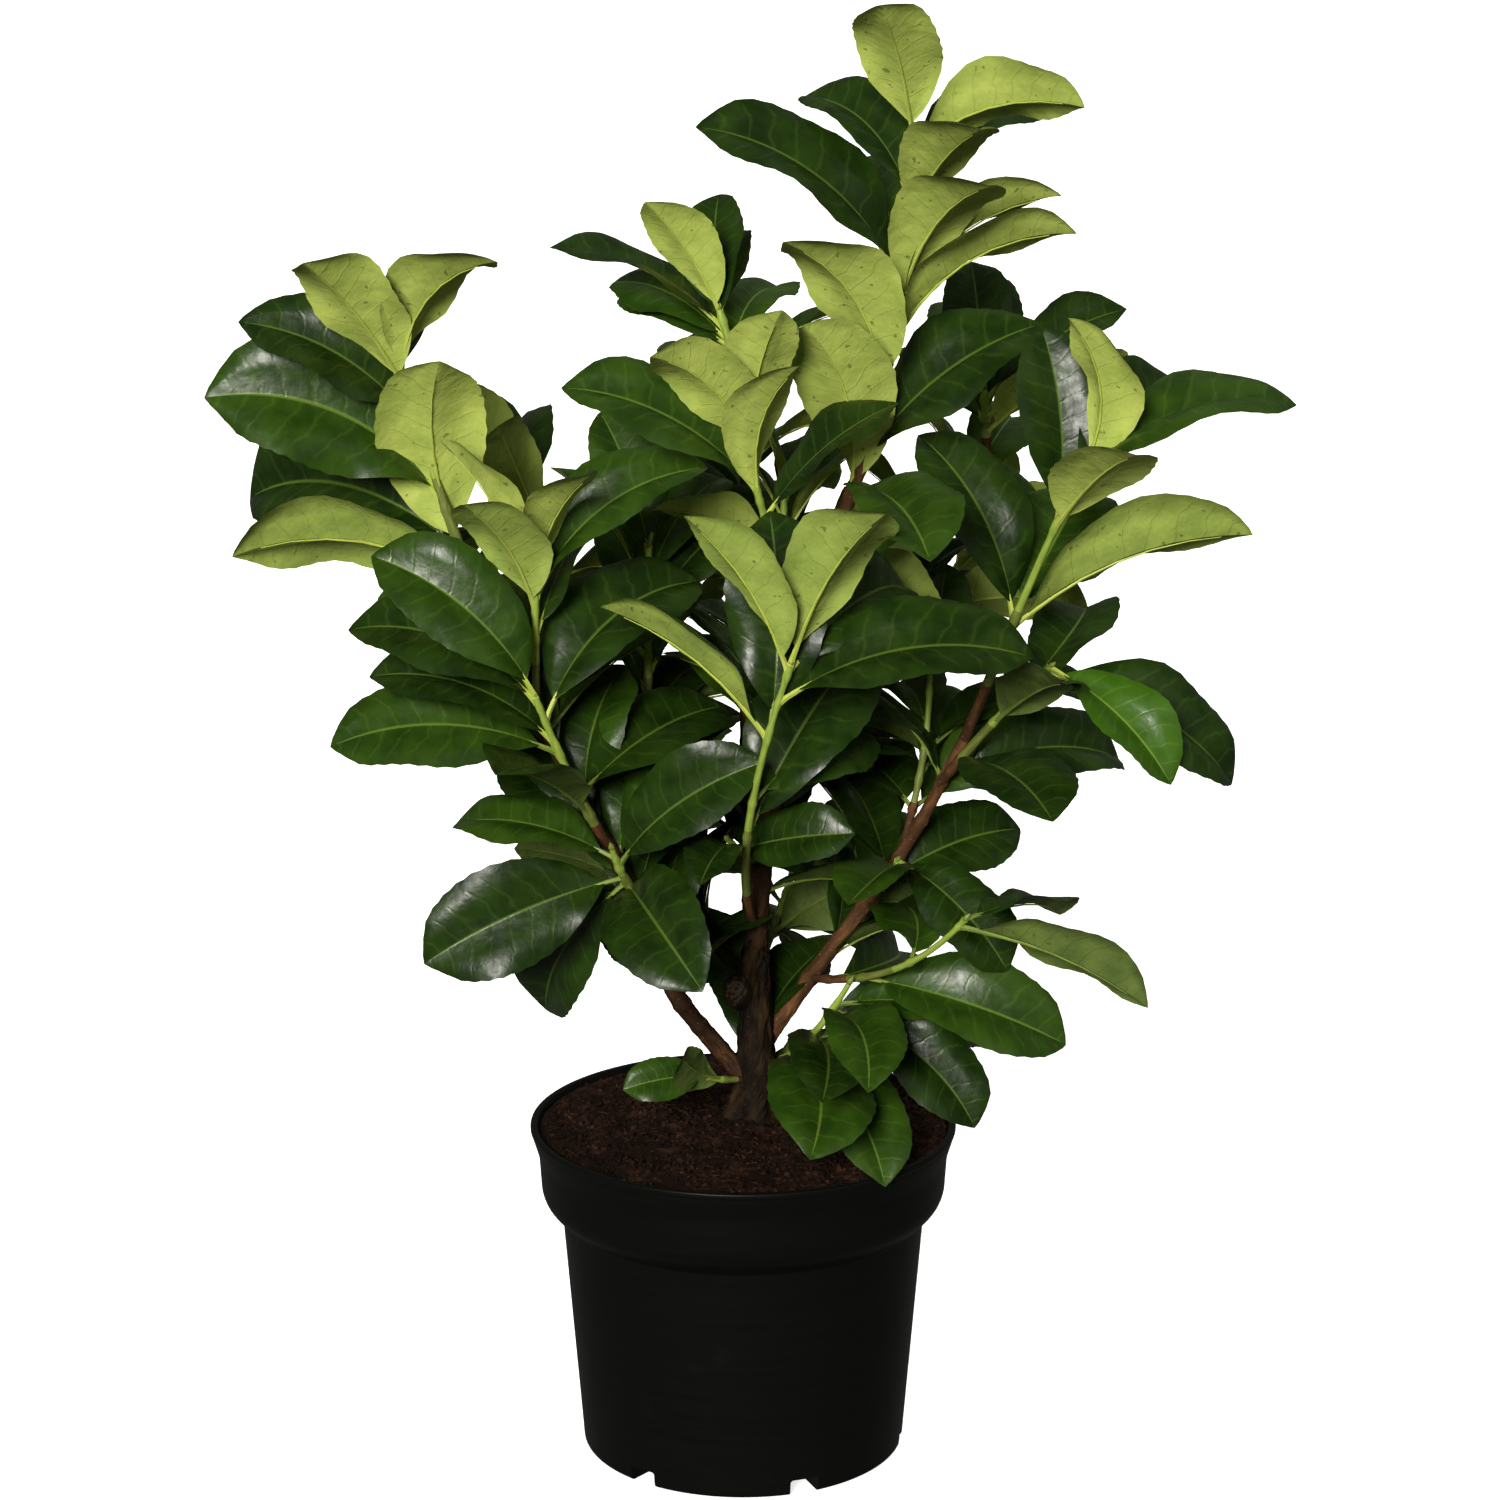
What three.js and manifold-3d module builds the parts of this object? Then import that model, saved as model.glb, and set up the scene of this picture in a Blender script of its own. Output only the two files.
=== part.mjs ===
// Potted cherry laurel: a young broad-leaved evergreen shrub in a round nursery pot.
// Millimetres, +Z up. The viewer looks along +Y with +X to the right, and the origin is
// the middle of the pot's flat underside.

import * as THREE from 'three';
import { mergeVertices } from 'three/addons/utils/BufferGeometryUtils.js';
import Module from 'manifold-3d';

// Fit between neighbours
const GAP = 0.3;
const LEAF_CLEARANCE = 0.5;
const MERGE_DISTANCE = 0.001;

// Pot: the outer face of the wall from the foot to the rim, as radius and height
const POT_OUTSIDE = [
  [84.5, 0], [86.4, 1], [87, 3.5],
  [98, 131],
  [103, 135.6], [106.7, 140.2], [108.6, 146],
  [110.2, 165], [111.3, 170], [114.2, 177.8],
  [114.9, 179], [114.9, 181], [113.9, 182],
];
const POT_FOOT_RADIUS = 87;
const POT_FLOOR = 12;
const POT_RIM_INNER_RADIUS = 111.6;
const POT_RIM_HEIGHT = 182;
const POT_SEGMENTS = 30;
const DRAIN_SLOTS = 6;
const DRAIN_FIRST_ANGLE = -68;
const DRAIN_WIDTH = 16;
const DRAIN_HEIGHT = 9;
const DRAIN_INNER_RADIUS = 60;
const DRAIN_OVERCUT = 10;

// Inner face of the pot wall above the floor, as radius and height
const POT_INSIDE = [[84.8, POT_FLOOR], [95.8, 132.5], [105, 142.5], [107.8, 166], [110, 179]];

// Soil: its surface from the wall to the mound round the trunk, as radius and height
const SOIL_TOP_HEIGHT = 184;
const SOIL_SURFACE = [[84, 180.6], [58, 182.2], [34, SOIL_TOP_HEIGHT], [0, SOIL_TOP_HEIGHT]];

// Trunk
const TRUNK_BASE = SOIL_TOP_HEIGHT + GAP;
const TRUNK_FORK = 268;
const TRUNK_COURSE = [[7, 4, TRUNK_BASE], [7, 3, 214], [6, 0, TRUNK_FORK]];
const TRUNK_FLARE_RADIUS = 17;
const TRUNK_RADIUS = 10.8;
const TRUNK_TAPER = 0.24;
const TRUNK_FLARE_HEIGHT = 14;
const TRUNK_FLARE_LOBES = 5;
const TRUNK_LOBE_DEPTH = 0.16;
const TRUNK_SIDES = 12;
const TRUNK_STEPS = 8;
const BOUGH_SIDES = 6;
const BOUGH_STEPS_A_BEND = 2;
const KNOB_RADIUS = 9.5;
const KNOB_STRETCH = [1, 0.85, 1.15];
const KNOB_PLACE = [-2, -4, 256];

// Leaf, as shares of its own length
const LEAF_HALF_WIDTH = 0.235;
const LEAF_HALF_THICKNESS = 0.0075;
const PETIOLE_SHARE = 0.1;
const PETIOLE_HALF_WIDTH = 1.3;
const PETIOLE_HALF_THICKNESS = 1;
// Stations along the blade: share of the length, share of the half width
const BLADE_STATIONS = [[0.33, 0.8], [0.6, 1], [0.85, 0.68]];
// Ranges that each leaf draws its own form from: bend along the midrib and fold across it in
// degrees, and width
const LEAF_CURL = [35, 75];
const LEAF_FOLD = [8, 22];
const LEAF_WIDTH = [0.92, 1.12];
// A leaf at the tip of its shoot is shorter by this share
const TIP_SHORTENING = 0.2;
// Leaves roll part of the way, up to a limit in degrees, that would turn the side they show to the
// viewer
const SHOWN_SLOPE = [0.6, 0.8];
const ROLL_SHARE = 0.7;
const ROLL_LIMIT = 45;

// Spiral rule for leaves that don't show in the front view: opening at the foot and the tip of a
// shoot in degrees, and how far headings, openings, lengths and rolls are scattered
const SPIRAL_SHARE = 0.618;
const SPIRAL_OPEN = [88, 28];
const SPIRAL_BARE = 0.3;
const TURN_SPREAD = 20;
const OPEN_SPREAD = 16;
const LENGTH_SPREAD = 0.24;
const ROLL_SPREAD = 60;
const FIRST_SEED = 1000;
const SEED_STEP = 77;

// Stems of the leafy shoots
const STEM_SIDES = 4;
const STEM_STEPS = 3;
const STEM_TIP_RADIUS = 1.3;

// What a crowded leaf may do instead, in turn. A leaf that shows in the front view keeps its tip on
// its pixel, and takes a share of its length and more roll in degrees.
const SHOWN_TRIES = [
  [1, 0], [1, 20], [1, -20], [1.1, 0], [0.92, 0], [1.1, 20], [1.1, -20], [1, 40], [1, -40],
  [1.22, 0], [1.22, 20], [1.22, -20], [0.84, 0], [1.35, 0],
];
// Another leaf turns round the stem and away from the stem, in degrees
const HIDDEN_TRIES = [
  [0, 0], [12, 0], [-12, 0], [0, 12], [0, -12], [20, 10], [-20, 10], [20, -10], [-20, -10],
  [32, 0], [-32, 0], [0, 26], [0, -26],
];

// The front view that leaf tips are read from: its eye, its downward tilt in degrees, and its focal
// length and the middle of its square picture in pixels
const VIEW_EYE = [3.7, -2145, 942];
const VIEW_TILT = 14.47;
const VIEW_FOCAL = 4194;
const VIEW_MIDDLE = 750;

// Boughs: the radius at both ends and the course, which starts inside an earlier limb
const BOUGHS = [
  { name: 'leader_bough', radii: [6.2, 3.4],
    course: [[6, 0, TRUNK_FORK + GAP], [8, 1, 300], [13, 5, 346], [28, 10, 411], [52, 0, 515]] },
  { name: 'left_bough', radii: [5.2, 2.9],
    course: [[7, 3, 198], [-14, 0, 224], [-38, -10, 260], [-57, -20, 315], [-83, -25, 365],
      [-114, -20, 426], [-140, -12, 478]] },
  { name: 'right_bough', radii: [4.8, 3],
    course: [[7, 3, 220], [36, 14, 258], [63, 20, 294], [90, 19, 335], [117, 5, 393]] },
  { name: 'back_bough', radii: [4.8, 2.8],
    course: [[6, 1, 238], [4, 40, 285], [2, 85, 380], [2, 112, 470], [1, 120, 542]] },
  { name: 'back_left_bough', radii: [4.4, 2.6],
    course: [[6, 1, 252], [-22, 22, 290], [-62, 60, 360], [-88, 92, 430]] },
  { name: 'back_right_bough', radii: [3.6, 2.4],
    course: [[13, 5, 346], [45, 40, 400], [95, 75, 470], [131, 90, 532]] },
];

// Shoots: what each grows from (at its tip where no root is given), its stem, and the length of its
// leaves. A leaf that shows in the front view has its place along the stem, and the pixel across and
// down the picture where its tip is. It leans away and shows its upper side, leans near and shows
// its underside, or hangs over to the front and shows its upper side.
// The other leaves are a count, spread over a fan of headings round a middle heading in degrees,
// with 0 to the right and 90 away from the viewer.
const SHOOTS = [
  { name: 'top_shoot', on: 'leader_bough', bend: [85, -16, 600], tip: [86, -15, 716], stout: 3.3,
    size: 118,
    near: [[0.98, 880, 5], [0.95, 1085, 108, -20], [0.8, 982, 130], [0.6, 992, 187],
      [0.48, 1077, 234, -20], [0.36, 783, 242], [0.05, 803, 325, 20], [0.57, 1062, 196]],
    over: [[0.08, 930, 562]],
    away: [[0.84, 802, 98], [0.92, 1044, 112], [0.68, 845, 163], [0.64, 695, 127], [0.14, 1041, 324]] },
  { name: 'left_top_shoot', on: 'left_bough', bend: [-158, -14, 535], tip: [-178, -18, 601], stout: 2.9,
    size: 122,
    near: [[0.86, 303, 263], [0.92, 497, 262], [0.15, 440, 361], [0, 232, 557, 20]],
    away: [[0.36, 204, 398, 5], [0.68, 238, 322, -15], [0.15, 250, 498, -35], [0.9, 402, 295]] },
  { name: 'front_shoot', on: 'leader_bough', root: [7, 0, 290], bend: [-10, -74, 349],
    tip: [24, -92, 456], stout: 2.4, size: 126,
    near: [[0.98, 684, 516], [1, 886, 514], [0.8, 600, 607]],
    away: [[0.9, 1034, 658], [0.97, 905, 588], [0.6, 858, 728]],
    count: 2, middle: 110, fan: 90 },
  { name: 'left_front_shoot', on: 'left_bough', root: [-70, -23, 341], bend: [-86, -50, 375],
    tip: [-106, -62, 432], stout: 2.9, size: 122,
    over: [[0.3, 495, 775]],
    away: [[1, 371, 556, -20], [0.75, 369, 677], [0.7, 330, 747, -10], [0.88, 700, 582],
      [0.44, 725, 706], [0.95, 348, 630]] },
  { name: 'right_shoot', on: 'right_bough', bend: [142, -26, 470], tip: [170, -54, 546], stout: 2.7,
    size: 120,
    near: [[0.8, 1137, 455], [1, 1068, 318], [0.42, 1253, 535, -20]],
    away: [[0.45, 918, 435], [0.97, 1297, 405, -20], [0.95, 1168, 375]],
    count: 2, middle: 110, fan: 90 },
  { name: 'left_inner_shoot', on: 'left_bough', root: [-108, -21, 414], bend: [-106, -50, 436],
    tip: [-106, -54, 498], stout: 2.1, size: 104,
    near: [[0.9, 440, 440], [0.95, 592, 475], [0.8, 462, 505], [0.3, 505, 612]],
    away: [[0.85, 708, 468]],
    count: 1, middle: 90, fan: 60 },
  { name: 'upper_front_shoot', on: 'leader_bough', root: [42, 5, 470], bend: [10, -44, 500],
    tip: [4, -48, 558], stout: 2.2, size: 106,
    near: [[0.97, 782, 310], [0.75, 800, 366, 30], [0.9, 650, 357]],
    away: [[0.8, 561, 388]],
    count: 1, middle: 90, fan: 120 },
  { name: 'left_low_shoot', on: 'left_bough', root: [-57, -20, 315], bend: [-64, -38, 331],
    tip: [-68, -46, 347], stout: 2.4, size: 112,
    over: [[0.4, 424, 964, -35], [0.2, 703, 992, 20], [0.95, 606, 757]],
    away: [[0.3, 546, 1010, -25], [0.8, 455, 825, 15], [0.6, 728, 728]],
    count: 1, middle: 80, fan: 120 },
  { name: 'right_low_shoot', on: 'right_bough', root: [104, 12, 366], bend: [130, -20, 410],
    tip: [158, -45, 444], stout: 2.5, size: 112,
    near: [[0.5, 1066, 684]],
    over: [[1, 1171, 785], [0.2, 1053, 822]],
    away: [[0.95, 1232, 784], [0.12, 1119, 760], [0.75, 1085, 608, -25]] },
  { name: 'low_right_shoot', on: 'right_bough', root: [36, 14, 258], bend: [84, -62, 276],
    tip: [114, -80, 319], stout: 2, size: 110,
    near: [[0.95, 1148, 1008, -25]],
    over: [[0.3, 1066, 1045]],
    away: [[1, 1060, 915, -40], [0.6, 892, 905], [0.1, 895, 950]] },
  { name: 'foot_right_shoot', on: 'trunk', root: [7, 3, 208], bend: [34, -18, 224], tip: [56, -28, 268],
    stout: 2.4, size: 112,
    over: [[0.85, 1000, 1021], [0.75, 868, 1093], [0.55, 822, 1103], [0.4, 885, 1187],
      [0.27, 810, 1160], [0.8, 975, 1128, 35]],
    count: 2, middle: 80, fan: 90 },
  { name: 'low_front_shoot', on: 'leader_bough', root: [10, 3, 326], bend: [0, -22, 336],
    tip: [-8, -44, 352], stout: 1.8, size: 74,
    over: [[0.85, 700, 886]],
    away: [[0.6, 815, 850]],
    count: 1, middle: 90, fan: 200 },
  { name: 'back_top_shoot', on: 'back_bough', bend: [-3, 120, 574], tip: [-13, 120, 604], stout: 2.6,
    size: 98,
    near: [[0.95, 645, 202]],
    away: [[0.8, 549, 248], [0.7, 614, 282], [0.9, 730, 230], [0.6, 783, 290], [0.1, 678, 342]],
    count: 3, middle: 100, fan: 160 },
  { name: 'back_right_shoot', on: 'back_right_bough', bend: [130, 90, 549], tip: [130, 90, 566],
    stout: 2.2, size: 104,
    near: [[0.25, 1128, 357]],
    away: [[0.5, 985, 276], [0.8, 1127, 309], [0.9, 948, 303], [0.3, 925, 352]],
    count: 2, middle: 80, fan: 120 },
  { name: 'right_inner_shoot', on: 'right_bough', root: [85, 19, 328], bend: [101, 24, 385],
    tip: [99, 26, 430], stout: 1.7, size: 98,
    near: [[0.95, 875, 548]],
    away: [[0.2, 828, 748], [0.6, 890, 690], [0.35, 985, 705], [0.2, 1003, 800]],
    count: 2, middle: 80, fan: 200 },
  { name: 'foot_left_shoot', on: 'trunk', root: [6, 3, 205], bend: [-14, -14, 208], tip: [-24, -24, 216],
    stout: 1.6, size: 56,
    near: [[0.45, 683, 1058]],
    over: [[0.8, 623, 1090]] },
  { name: 'arch_shoot', on: 'right_bough', root: [76, 20, 312], bend: [79, 4, 318], tip: [82, -8, 330],
    stout: 1.6, size: 100,
    near: [[0.8, 848, 905]],
    over: [[1, 1008, 972]] },
  { name: 'inner_left_shoot', on: 'back_left_bough', root: [-50, 48, 337], bend: [-52, 44, 420],
    tip: [-50, 40, 490], stout: 2.4, size: 104,
    away: [[0.95, 600, 412], [1, 690, 420], [0.85, 722, 478], [0.3, 700, 665]],
    count: 9, middle: 110, fan: 200 },
  { name: 'back_left_shoot', on: 'back_left_bough', bend: [-108, 118, 470], tip: [-122, 134, 512],
    stout: 2.4, size: 106, count: 8, middle: 190, fan: 230 },
  { name: 'rear_shoot', on: 'back_bough', root: [3, 72, 350], bend: [4, 130, 380], tip: [4, 168, 432],
    stout: 2.4, size: 106, count: 10, middle: 90, fan: 280 },
  { name: 'rear_right_shoot', on: 'back_right_bough', root: [56, 48, 416], bend: [104, 118, 430],
    tip: [130, 156, 474], stout: 2.4, size: 96, count: 9, middle: 50, fan: 320 },
  { name: 'rear_low_shoot', on: 'back_bough', root: [5, 20, 258], bend: [20, 80, 270],
    tip: [30, 110, 300], stout: 2.2, size: 94,
    away: [[0.3, 838, 935], [0.4, 812, 985]],
    count: 8, middle: 70, fan: 240 },
  { name: 'upper_inner_shoot', on: 'leader_bough', root: [32, 9, 430], bend: [20, 40, 470],
    tip: [22, 52, 520], stout: 2.2, size: 84, count: 9, middle: 90, fan: 250 },
  { name: 'rear_left_shoot', on: 'back_left_bough', root: [-55, 53, 348], bend: [-72, 112, 366],
    tip: [-84, 150, 400], stout: 2.2, size: 98, count: 8, middle: 80, fan: 290 },
  { name: 'mid_left_shoot', on: 'left_bough', root: [-88, -25, 374], bend: [-80, 14, 392],
    tip: [-84, 34, 430], stout: 2, size: 94, count: 6, middle: 145, fan: 200 },
  { name: 'low_inner_shoot', on: 'right_bough', root: [50, 18, 276], bend: [52, 48, 292],
    tip: [66, 66, 326], stout: 1.9, size: 94,
    count: 4, middle: 120, fan: 200 },
  { name: 'low_left_shoot', on: 'left_bough', root: [-44, -13, 277], bend: [-40, 26, 290],
    tip: [-50, 44, 322], stout: 1.9, size: 90,
    away: [[0.7, 728, 842]],
    count: 5, middle: 180, fan: 200 },
];

// Colours and finish
const FINISHES = {
  pot: { color: 0x17191a, roughness: 0.45, metalness: 0 },
  soil: { color: 0x2b1a13, roughness: 1, metalness: 0 },
  bark: { color: 0x4a3325, roughness: 0.9, metalness: 0 },
  foliage: { color: 0x2f5a23, roughness: 0.35, metalness: 0 },
};

const wasm = await Module();
wasm.setup();

const plant = new THREE.Group();
const limbs = new Map();
const placedLeaves = [];
const fixedSolids = [];

// A seeded draw between 0 and 1, the same on every run
function seededDraw(seed) {
  const factor = 16807;
  const period = 2147483647;
  let state = seed;
  return () => {
    state = (state * factor) % period;
    return state / period;
  };
}

function between([low, high], share) {
  return THREE.MathUtils.lerp(low, high, share);
}

// A number between minus half and half of a spread
function scatter(spread, draw) {
  return spread * (draw() - 0.5);
}

function vector(place) {
  return new THREE.Vector3(...place);
}

const radians = THREE.MathUtils.degToRad;
const degrees = THREE.MathUtils.radToDeg;

// A closed solid from a geometry, with shared corners merged and flat slivers dropped
function toSolid(geometry) {
  const bare = geometry.clone();
  bare.deleteAttribute('normal');
  bare.deleteAttribute('uv');
  const merged = mergeVertices(bare, MERGE_DISTANCE);
  const corners = [];
  for (let i = 0; i < merged.index.count; i += 3) {
    const triangle = [0, 1, 2].map((k) => merged.index.getX(i + k));
    if (new Set(triangle).size === 3) corners.push(...triangle);
  }
  return new wasm.Manifold(new wasm.Mesh({
    numProp: 3,
    vertProperties: new Float32Array(merged.attributes.position.array),
    triVerts: new Uint32Array(corners),
  }));
}

function toGeometry(solid) {
  const mesh = solid.getMesh();
  const geometry = new THREE.BufferGeometry();
  geometry.setAttribute('position', new THREE.BufferAttribute(new Float32Array(mesh.vertProperties), 3));
  geometry.setIndex(new THREE.BufferAttribute(new Uint32Array(mesh.triVerts), 1));
  geometry.computeVertexNormals();
  return geometry;
}

// The largest body of a solid, with loose scraps dropped
function mainBody(solid) {
  const bodies = solid.decompose();
  return bodies.reduce((best, body) => (body.volume() > best.volume() ? body : best));
}

// A solid cut clear of every limb made so far
function clearOfLimbs(solid) {
  let cut = solid;
  for (const { grown } of limbs.values()) cut = cut.subtract(grown);
  return mainBody(cut);
}

function addNode(name, solid, finish) {
  const mesh = new THREE.Mesh(toGeometry(solid), new THREE.MeshStandardMaterial(FINISHES[finish]));
  mesh.name = name;
  plant.add(mesh);
}

// A closed skin over a row of rings with equal counts, capped at both ends;
// a last ring of one point closes to a tip
function loft(rings) {
  const points = rings.flat();
  const count = rings[0].length;
  const corners = [];
  const last = rings.length - 1;
  for (let ring = 0; ring < last; ring += 1) {
    const start = ring * count;
    for (let k = 0; k < count; k += 1) {
      const next = (k + 1) % count;
      if (rings[ring + 1].length === 1) {
        corners.push(start + k, start + next, start + count);
      } else {
        corners.push(start + k, start + next, start + count + next);
        corners.push(start + k, start + count + next, start + count + k);
      }
    }
  }
  for (let k = 1; k < count - 1; k += 1) {
    corners.push(0, k + 1, k);
    if (rings[last].length > 1) corners.push(last * count, last * count + k, last * count + k + 1);
  }
  const geometry = new THREE.BufferGeometry().setFromPoints(points);
  geometry.setIndex(corners);
  return geometry;
}

// A tapering limb of round section along a curve; level rings keep its cut ends flat
function limbGeometry(curve, radiusAt, steps, sides, level = false) {
  const rings = [];
  let side = new THREE.Vector3(0, -1, 0);
  for (let step = 0; step <= steps; step += 1) {
    const along = step / steps;
    const centre = curve.getPoint(along);
    const tangent = level ? new THREE.Vector3(0, 0, 1) : curve.getTangent(along);
    side = side.addScaledVector(tangent, -side.dot(tangent)).normalize();
    const up = new THREE.Vector3().crossVectors(tangent, side);
    const ring = [];
    for (let k = 0; k < sides; k += 1) {
      const angle = (2 * Math.PI * k) / sides;
      const radius = radiusAt(along, angle);
      ring.push(centre.clone()
        .addScaledVector(side, radius * Math.cos(angle))
        .addScaledVector(up, radius * Math.sin(angle)));
    }
    rings.push(ring);
    side = side.clone();
  }
  return loft(rings);
}

// A limb's solid, cut clear of the limbs before it, and the same limb grown by the gap
function growLimb(curve, radiusAt, steps, sides, level) {
  const solid = clearOfLimbs(toSolid(limbGeometry(curve, radiusAt, steps, sides, level)));
  const grown = toSolid(limbGeometry(curve, (s, a) => radiusAt(s, a) + GAP, steps, sides, level));
  return { curve, solid, grown };
}

function profileSolid(profile) {
  const points = profile.map(([radius, height]) => new THREE.Vector2(radius, height));
  const turned = new THREE.LatheGeometry(points, POT_SEGMENTS);
  turned.rotateX(Math.PI / 2);
  return toSolid(turned);
}

// The inner face of the pot wall, set in by a clearance
function potInside(clearance) {
  return POT_INSIDE.map(([radius, height], k) => [radius - clearance, k === 0 ? height + clearance : height]);
}

function makePot() {
  const rim = [POT_RIM_INNER_RADIUS, POT_RIM_HEIGHT];
  let pot = profileSolid([[0, 0], ...POT_OUTSIDE, rim, ...potInside(0).reverse(), [0, POT_FLOOR]]);
  const length = POT_FOOT_RADIUS - DRAIN_INNER_RADIUS + DRAIN_OVERCUT;
  for (let slot = 0; slot < DRAIN_SLOTS; slot += 1) {
    const box = new THREE.BoxGeometry(length, DRAIN_WIDTH, 2 * DRAIN_HEIGHT);
    box.translate(DRAIN_INNER_RADIUS + length / 2, 0, 0);
    box.rotateZ(radians(DRAIN_FIRST_ANGLE + (360 / DRAIN_SLOTS) * slot));
    pot = pot.subtract(toSolid(box));
  }
  addNode('pot', pot, 'pot');
  fixedSolids.push(pot);
}

function makeSoil() {
  const soil = profileSolid([[0, POT_FLOOR + GAP], ...potInside(GAP), ...SOIL_SURFACE]);
  addNode('soil', soil, 'soil');
  fixedSolids.push(soil);
}

// Trunk with a lobed root flare, a lean towards the fork and a healed pruning knob
function makeTrunk() {
  const curve = new THREE.CatmullRomCurve3(TRUNK_COURSE.map(vector));
  const height = TRUNK_FORK - TRUNK_BASE;
  const radiusAt = (along, angle) => {
    const flare = Math.exp((-along * height) / TRUNK_FLARE_HEIGHT);
    const lobes = 1 + TRUNK_LOBE_DEPTH * flare * Math.cos(TRUNK_FLARE_LOBES * angle);
    const straight = TRUNK_RADIUS * (1 - TRUNK_TAPER * along);
    return (straight + (TRUNK_FLARE_RADIUS - TRUNK_RADIUS) * flare) * lobes;
  };
  const trunk = growLimb(curve, radiusAt, TRUNK_STEPS, TRUNK_SIDES, true);
  const knobAt = (radius) => {
    const knob = new THREE.IcosahedronGeometry(radius, 1);
    knob.scale(...KNOB_STRETCH);
    knob.translate(...KNOB_PLACE);
    return toSolid(knob);
  };
  trunk.solid = trunk.solid.add(knobAt(KNOB_RADIUS));
  trunk.grown = trunk.grown.add(knobAt(KNOB_RADIUS + GAP));
  limbs.set('trunk', trunk);
  addNode('trunk', trunk.solid, 'bark');
}

// One tapering limb that grows out of an earlier one
function makeBough({ name, radii, course }) {
  const curve = new THREE.CatmullRomCurve3(course.map(vector));
  const radiusAt = (along) => between(radii, along);
  const bough = growLimb(curve, radiusAt, BOUGH_STEPS_A_BEND * (course.length - 1), BOUGH_SIDES);
  limbs.set(name, bough);
  addNode(name, bough.solid, 'bark');
}

// Form that a leaf draws for itself, as angles and a share of the usual width
function leafForm(draw) {
  return {
    curl: radians(between(LEAF_CURL, draw())),
    fold: radians(between(LEAF_FOLD, draw())),
    width: between(LEAF_WIDTH, draw()),
  };
}

// Roll that turns a leaf's upper face part of the way to the viewer, or away where the underside
// shows
function rollToShow(axis, out, open, upperShows) {
  const [level, height] = SHOWN_SLOPE;
  const ahead = axis.clone().multiplyScalar(Math.cos(open)).addScaledVector(out, Math.sin(open));
  const face = axis.clone().multiplyScalar(Math.sin(open)).addScaledVector(out, -Math.cos(open));
  const wanted = new THREE.Vector3(0, upperShows ? -level : level, height).projectOnPlane(ahead);
  const roll = Math.atan2(face.clone().cross(wanted).dot(ahead), face.dot(wanted));
  return THREE.MathUtils.clamp(ROLL_SHARE * degrees(roll), -ROLL_LIMIT, ROLL_LIMIT);
}

// Direction from the eye through a pixel of the front view
function viewRay(across, down) {
  const tilt = radians(VIEW_TILT);
  const right = (across - VIEW_MIDDLE) / VIEW_FOCAL;
  const rise = (VIEW_MIDDLE - down) / VIEW_FOCAL;
  const ray = new THREE.Vector3(right, Math.cos(tilt), -Math.sin(tilt));
  return ray.add(new THREE.Vector3(0, Math.sin(tilt), Math.cos(tilt)).multiplyScalar(rise)).normalize();
}

// A leaf whose tip shows at a pixel of the front view. Its length says how far it leans, away (1)
// or near (-1), and a leaf that is too short to reach the pixel's ray grows until it does.
function shownLeaf(stem, [along, across, down, moreRoll = 0], size, lean, upperShows, form) {
  const root = stem.getPoint(along);
  const axis = stem.getTangent(along);
  const eye = vector(VIEW_EYE);
  const ray = viewRay(across, down);
  const toRoot = root.clone().sub(eye);
  const middle = toRoot.dot(ray);
  const miss = toRoot.addScaledVector(ray, -middle).length();
  const bow = Math.sin(form.curl / 2) / (form.curl / 2);
  const chord = Math.max(miss, size * (1 - TIP_SHORTENING * along * along) * bow);
  const tip = eye.addScaledVector(ray, middle + lean * Math.sqrt(chord * chord - miss * miss));
  const aim = tip.sub(root);
  const out = aim.clone().projectOnPlane(axis).normalize();
  const level = out.clone().addScaledVector(axis, -out.z / axis.z);
  const open = aim.angleTo(axis);
  return {
    along,
    turn: degrees(Math.atan2(level.y, level.x)),
    open: degrees(open),
    length: chord / bow,
    roll: rollToShow(axis, out, open, upperShows) + moreRoll,
    ...form,
  };
}

// Leaves by the spiral rule: headings spread over a fan, wide open low down, closing and shorter
// at the tip
function hiddenLeaf({ count, middle, fan, size }, index, draw) {
  const share = (index + 0.5) / count;
  return {
    along: between([SPIRAL_BARE, 1], share),
    turn: middle + fan * (((index * SPIRAL_SHARE) % 1) - 0.5) + scatter(TURN_SPREAD, draw),
    open: between(SPIRAL_OPEN, share) + scatter(OPEN_SPREAD, draw),
    length: size * (1 + scatter(LENGTH_SPREAD, draw)) * (1 - TIP_SHORTENING * share * share),
    roll: scatter(ROLL_SPREAD, draw),
    ...leafForm(draw),
  };
}

// Poses for each leaf of a shoot that shows in the front view, best first
function shownPoses({ near = [], over = [], away = [], size }, stem, draw) {
  const poses = (row, lean, upperShows) => {
    const form = leafForm(draw);
    return SHOWN_TRIES.map(([share, moreRoll]) => {
      const leaf = shownLeaf(stem, row, share * size, lean, upperShows, form);
      return { ...leaf, roll: leaf.roll + moreRoll };
    });
  };
  return [
    ...near.map((row) => poses(row, -1, false)),
    ...over.map((row) => poses(row, -1, true)),
    ...away.map((row) => poses(row, 1, true)),
  ];
}

// Poses for each of the other leaves, best first
function hiddenPoses(shoot, draw) {
  return Array.from({ length: shoot.count ?? 0 }, (_, index) => {
    const leaf = hiddenLeaf(shoot, index, draw);
    return HIDDEN_TRIES.map(([turn, open]) => ({ ...leaf, turn: leaf.turn + turn, open: leaf.open + open }));
  });
}

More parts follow.
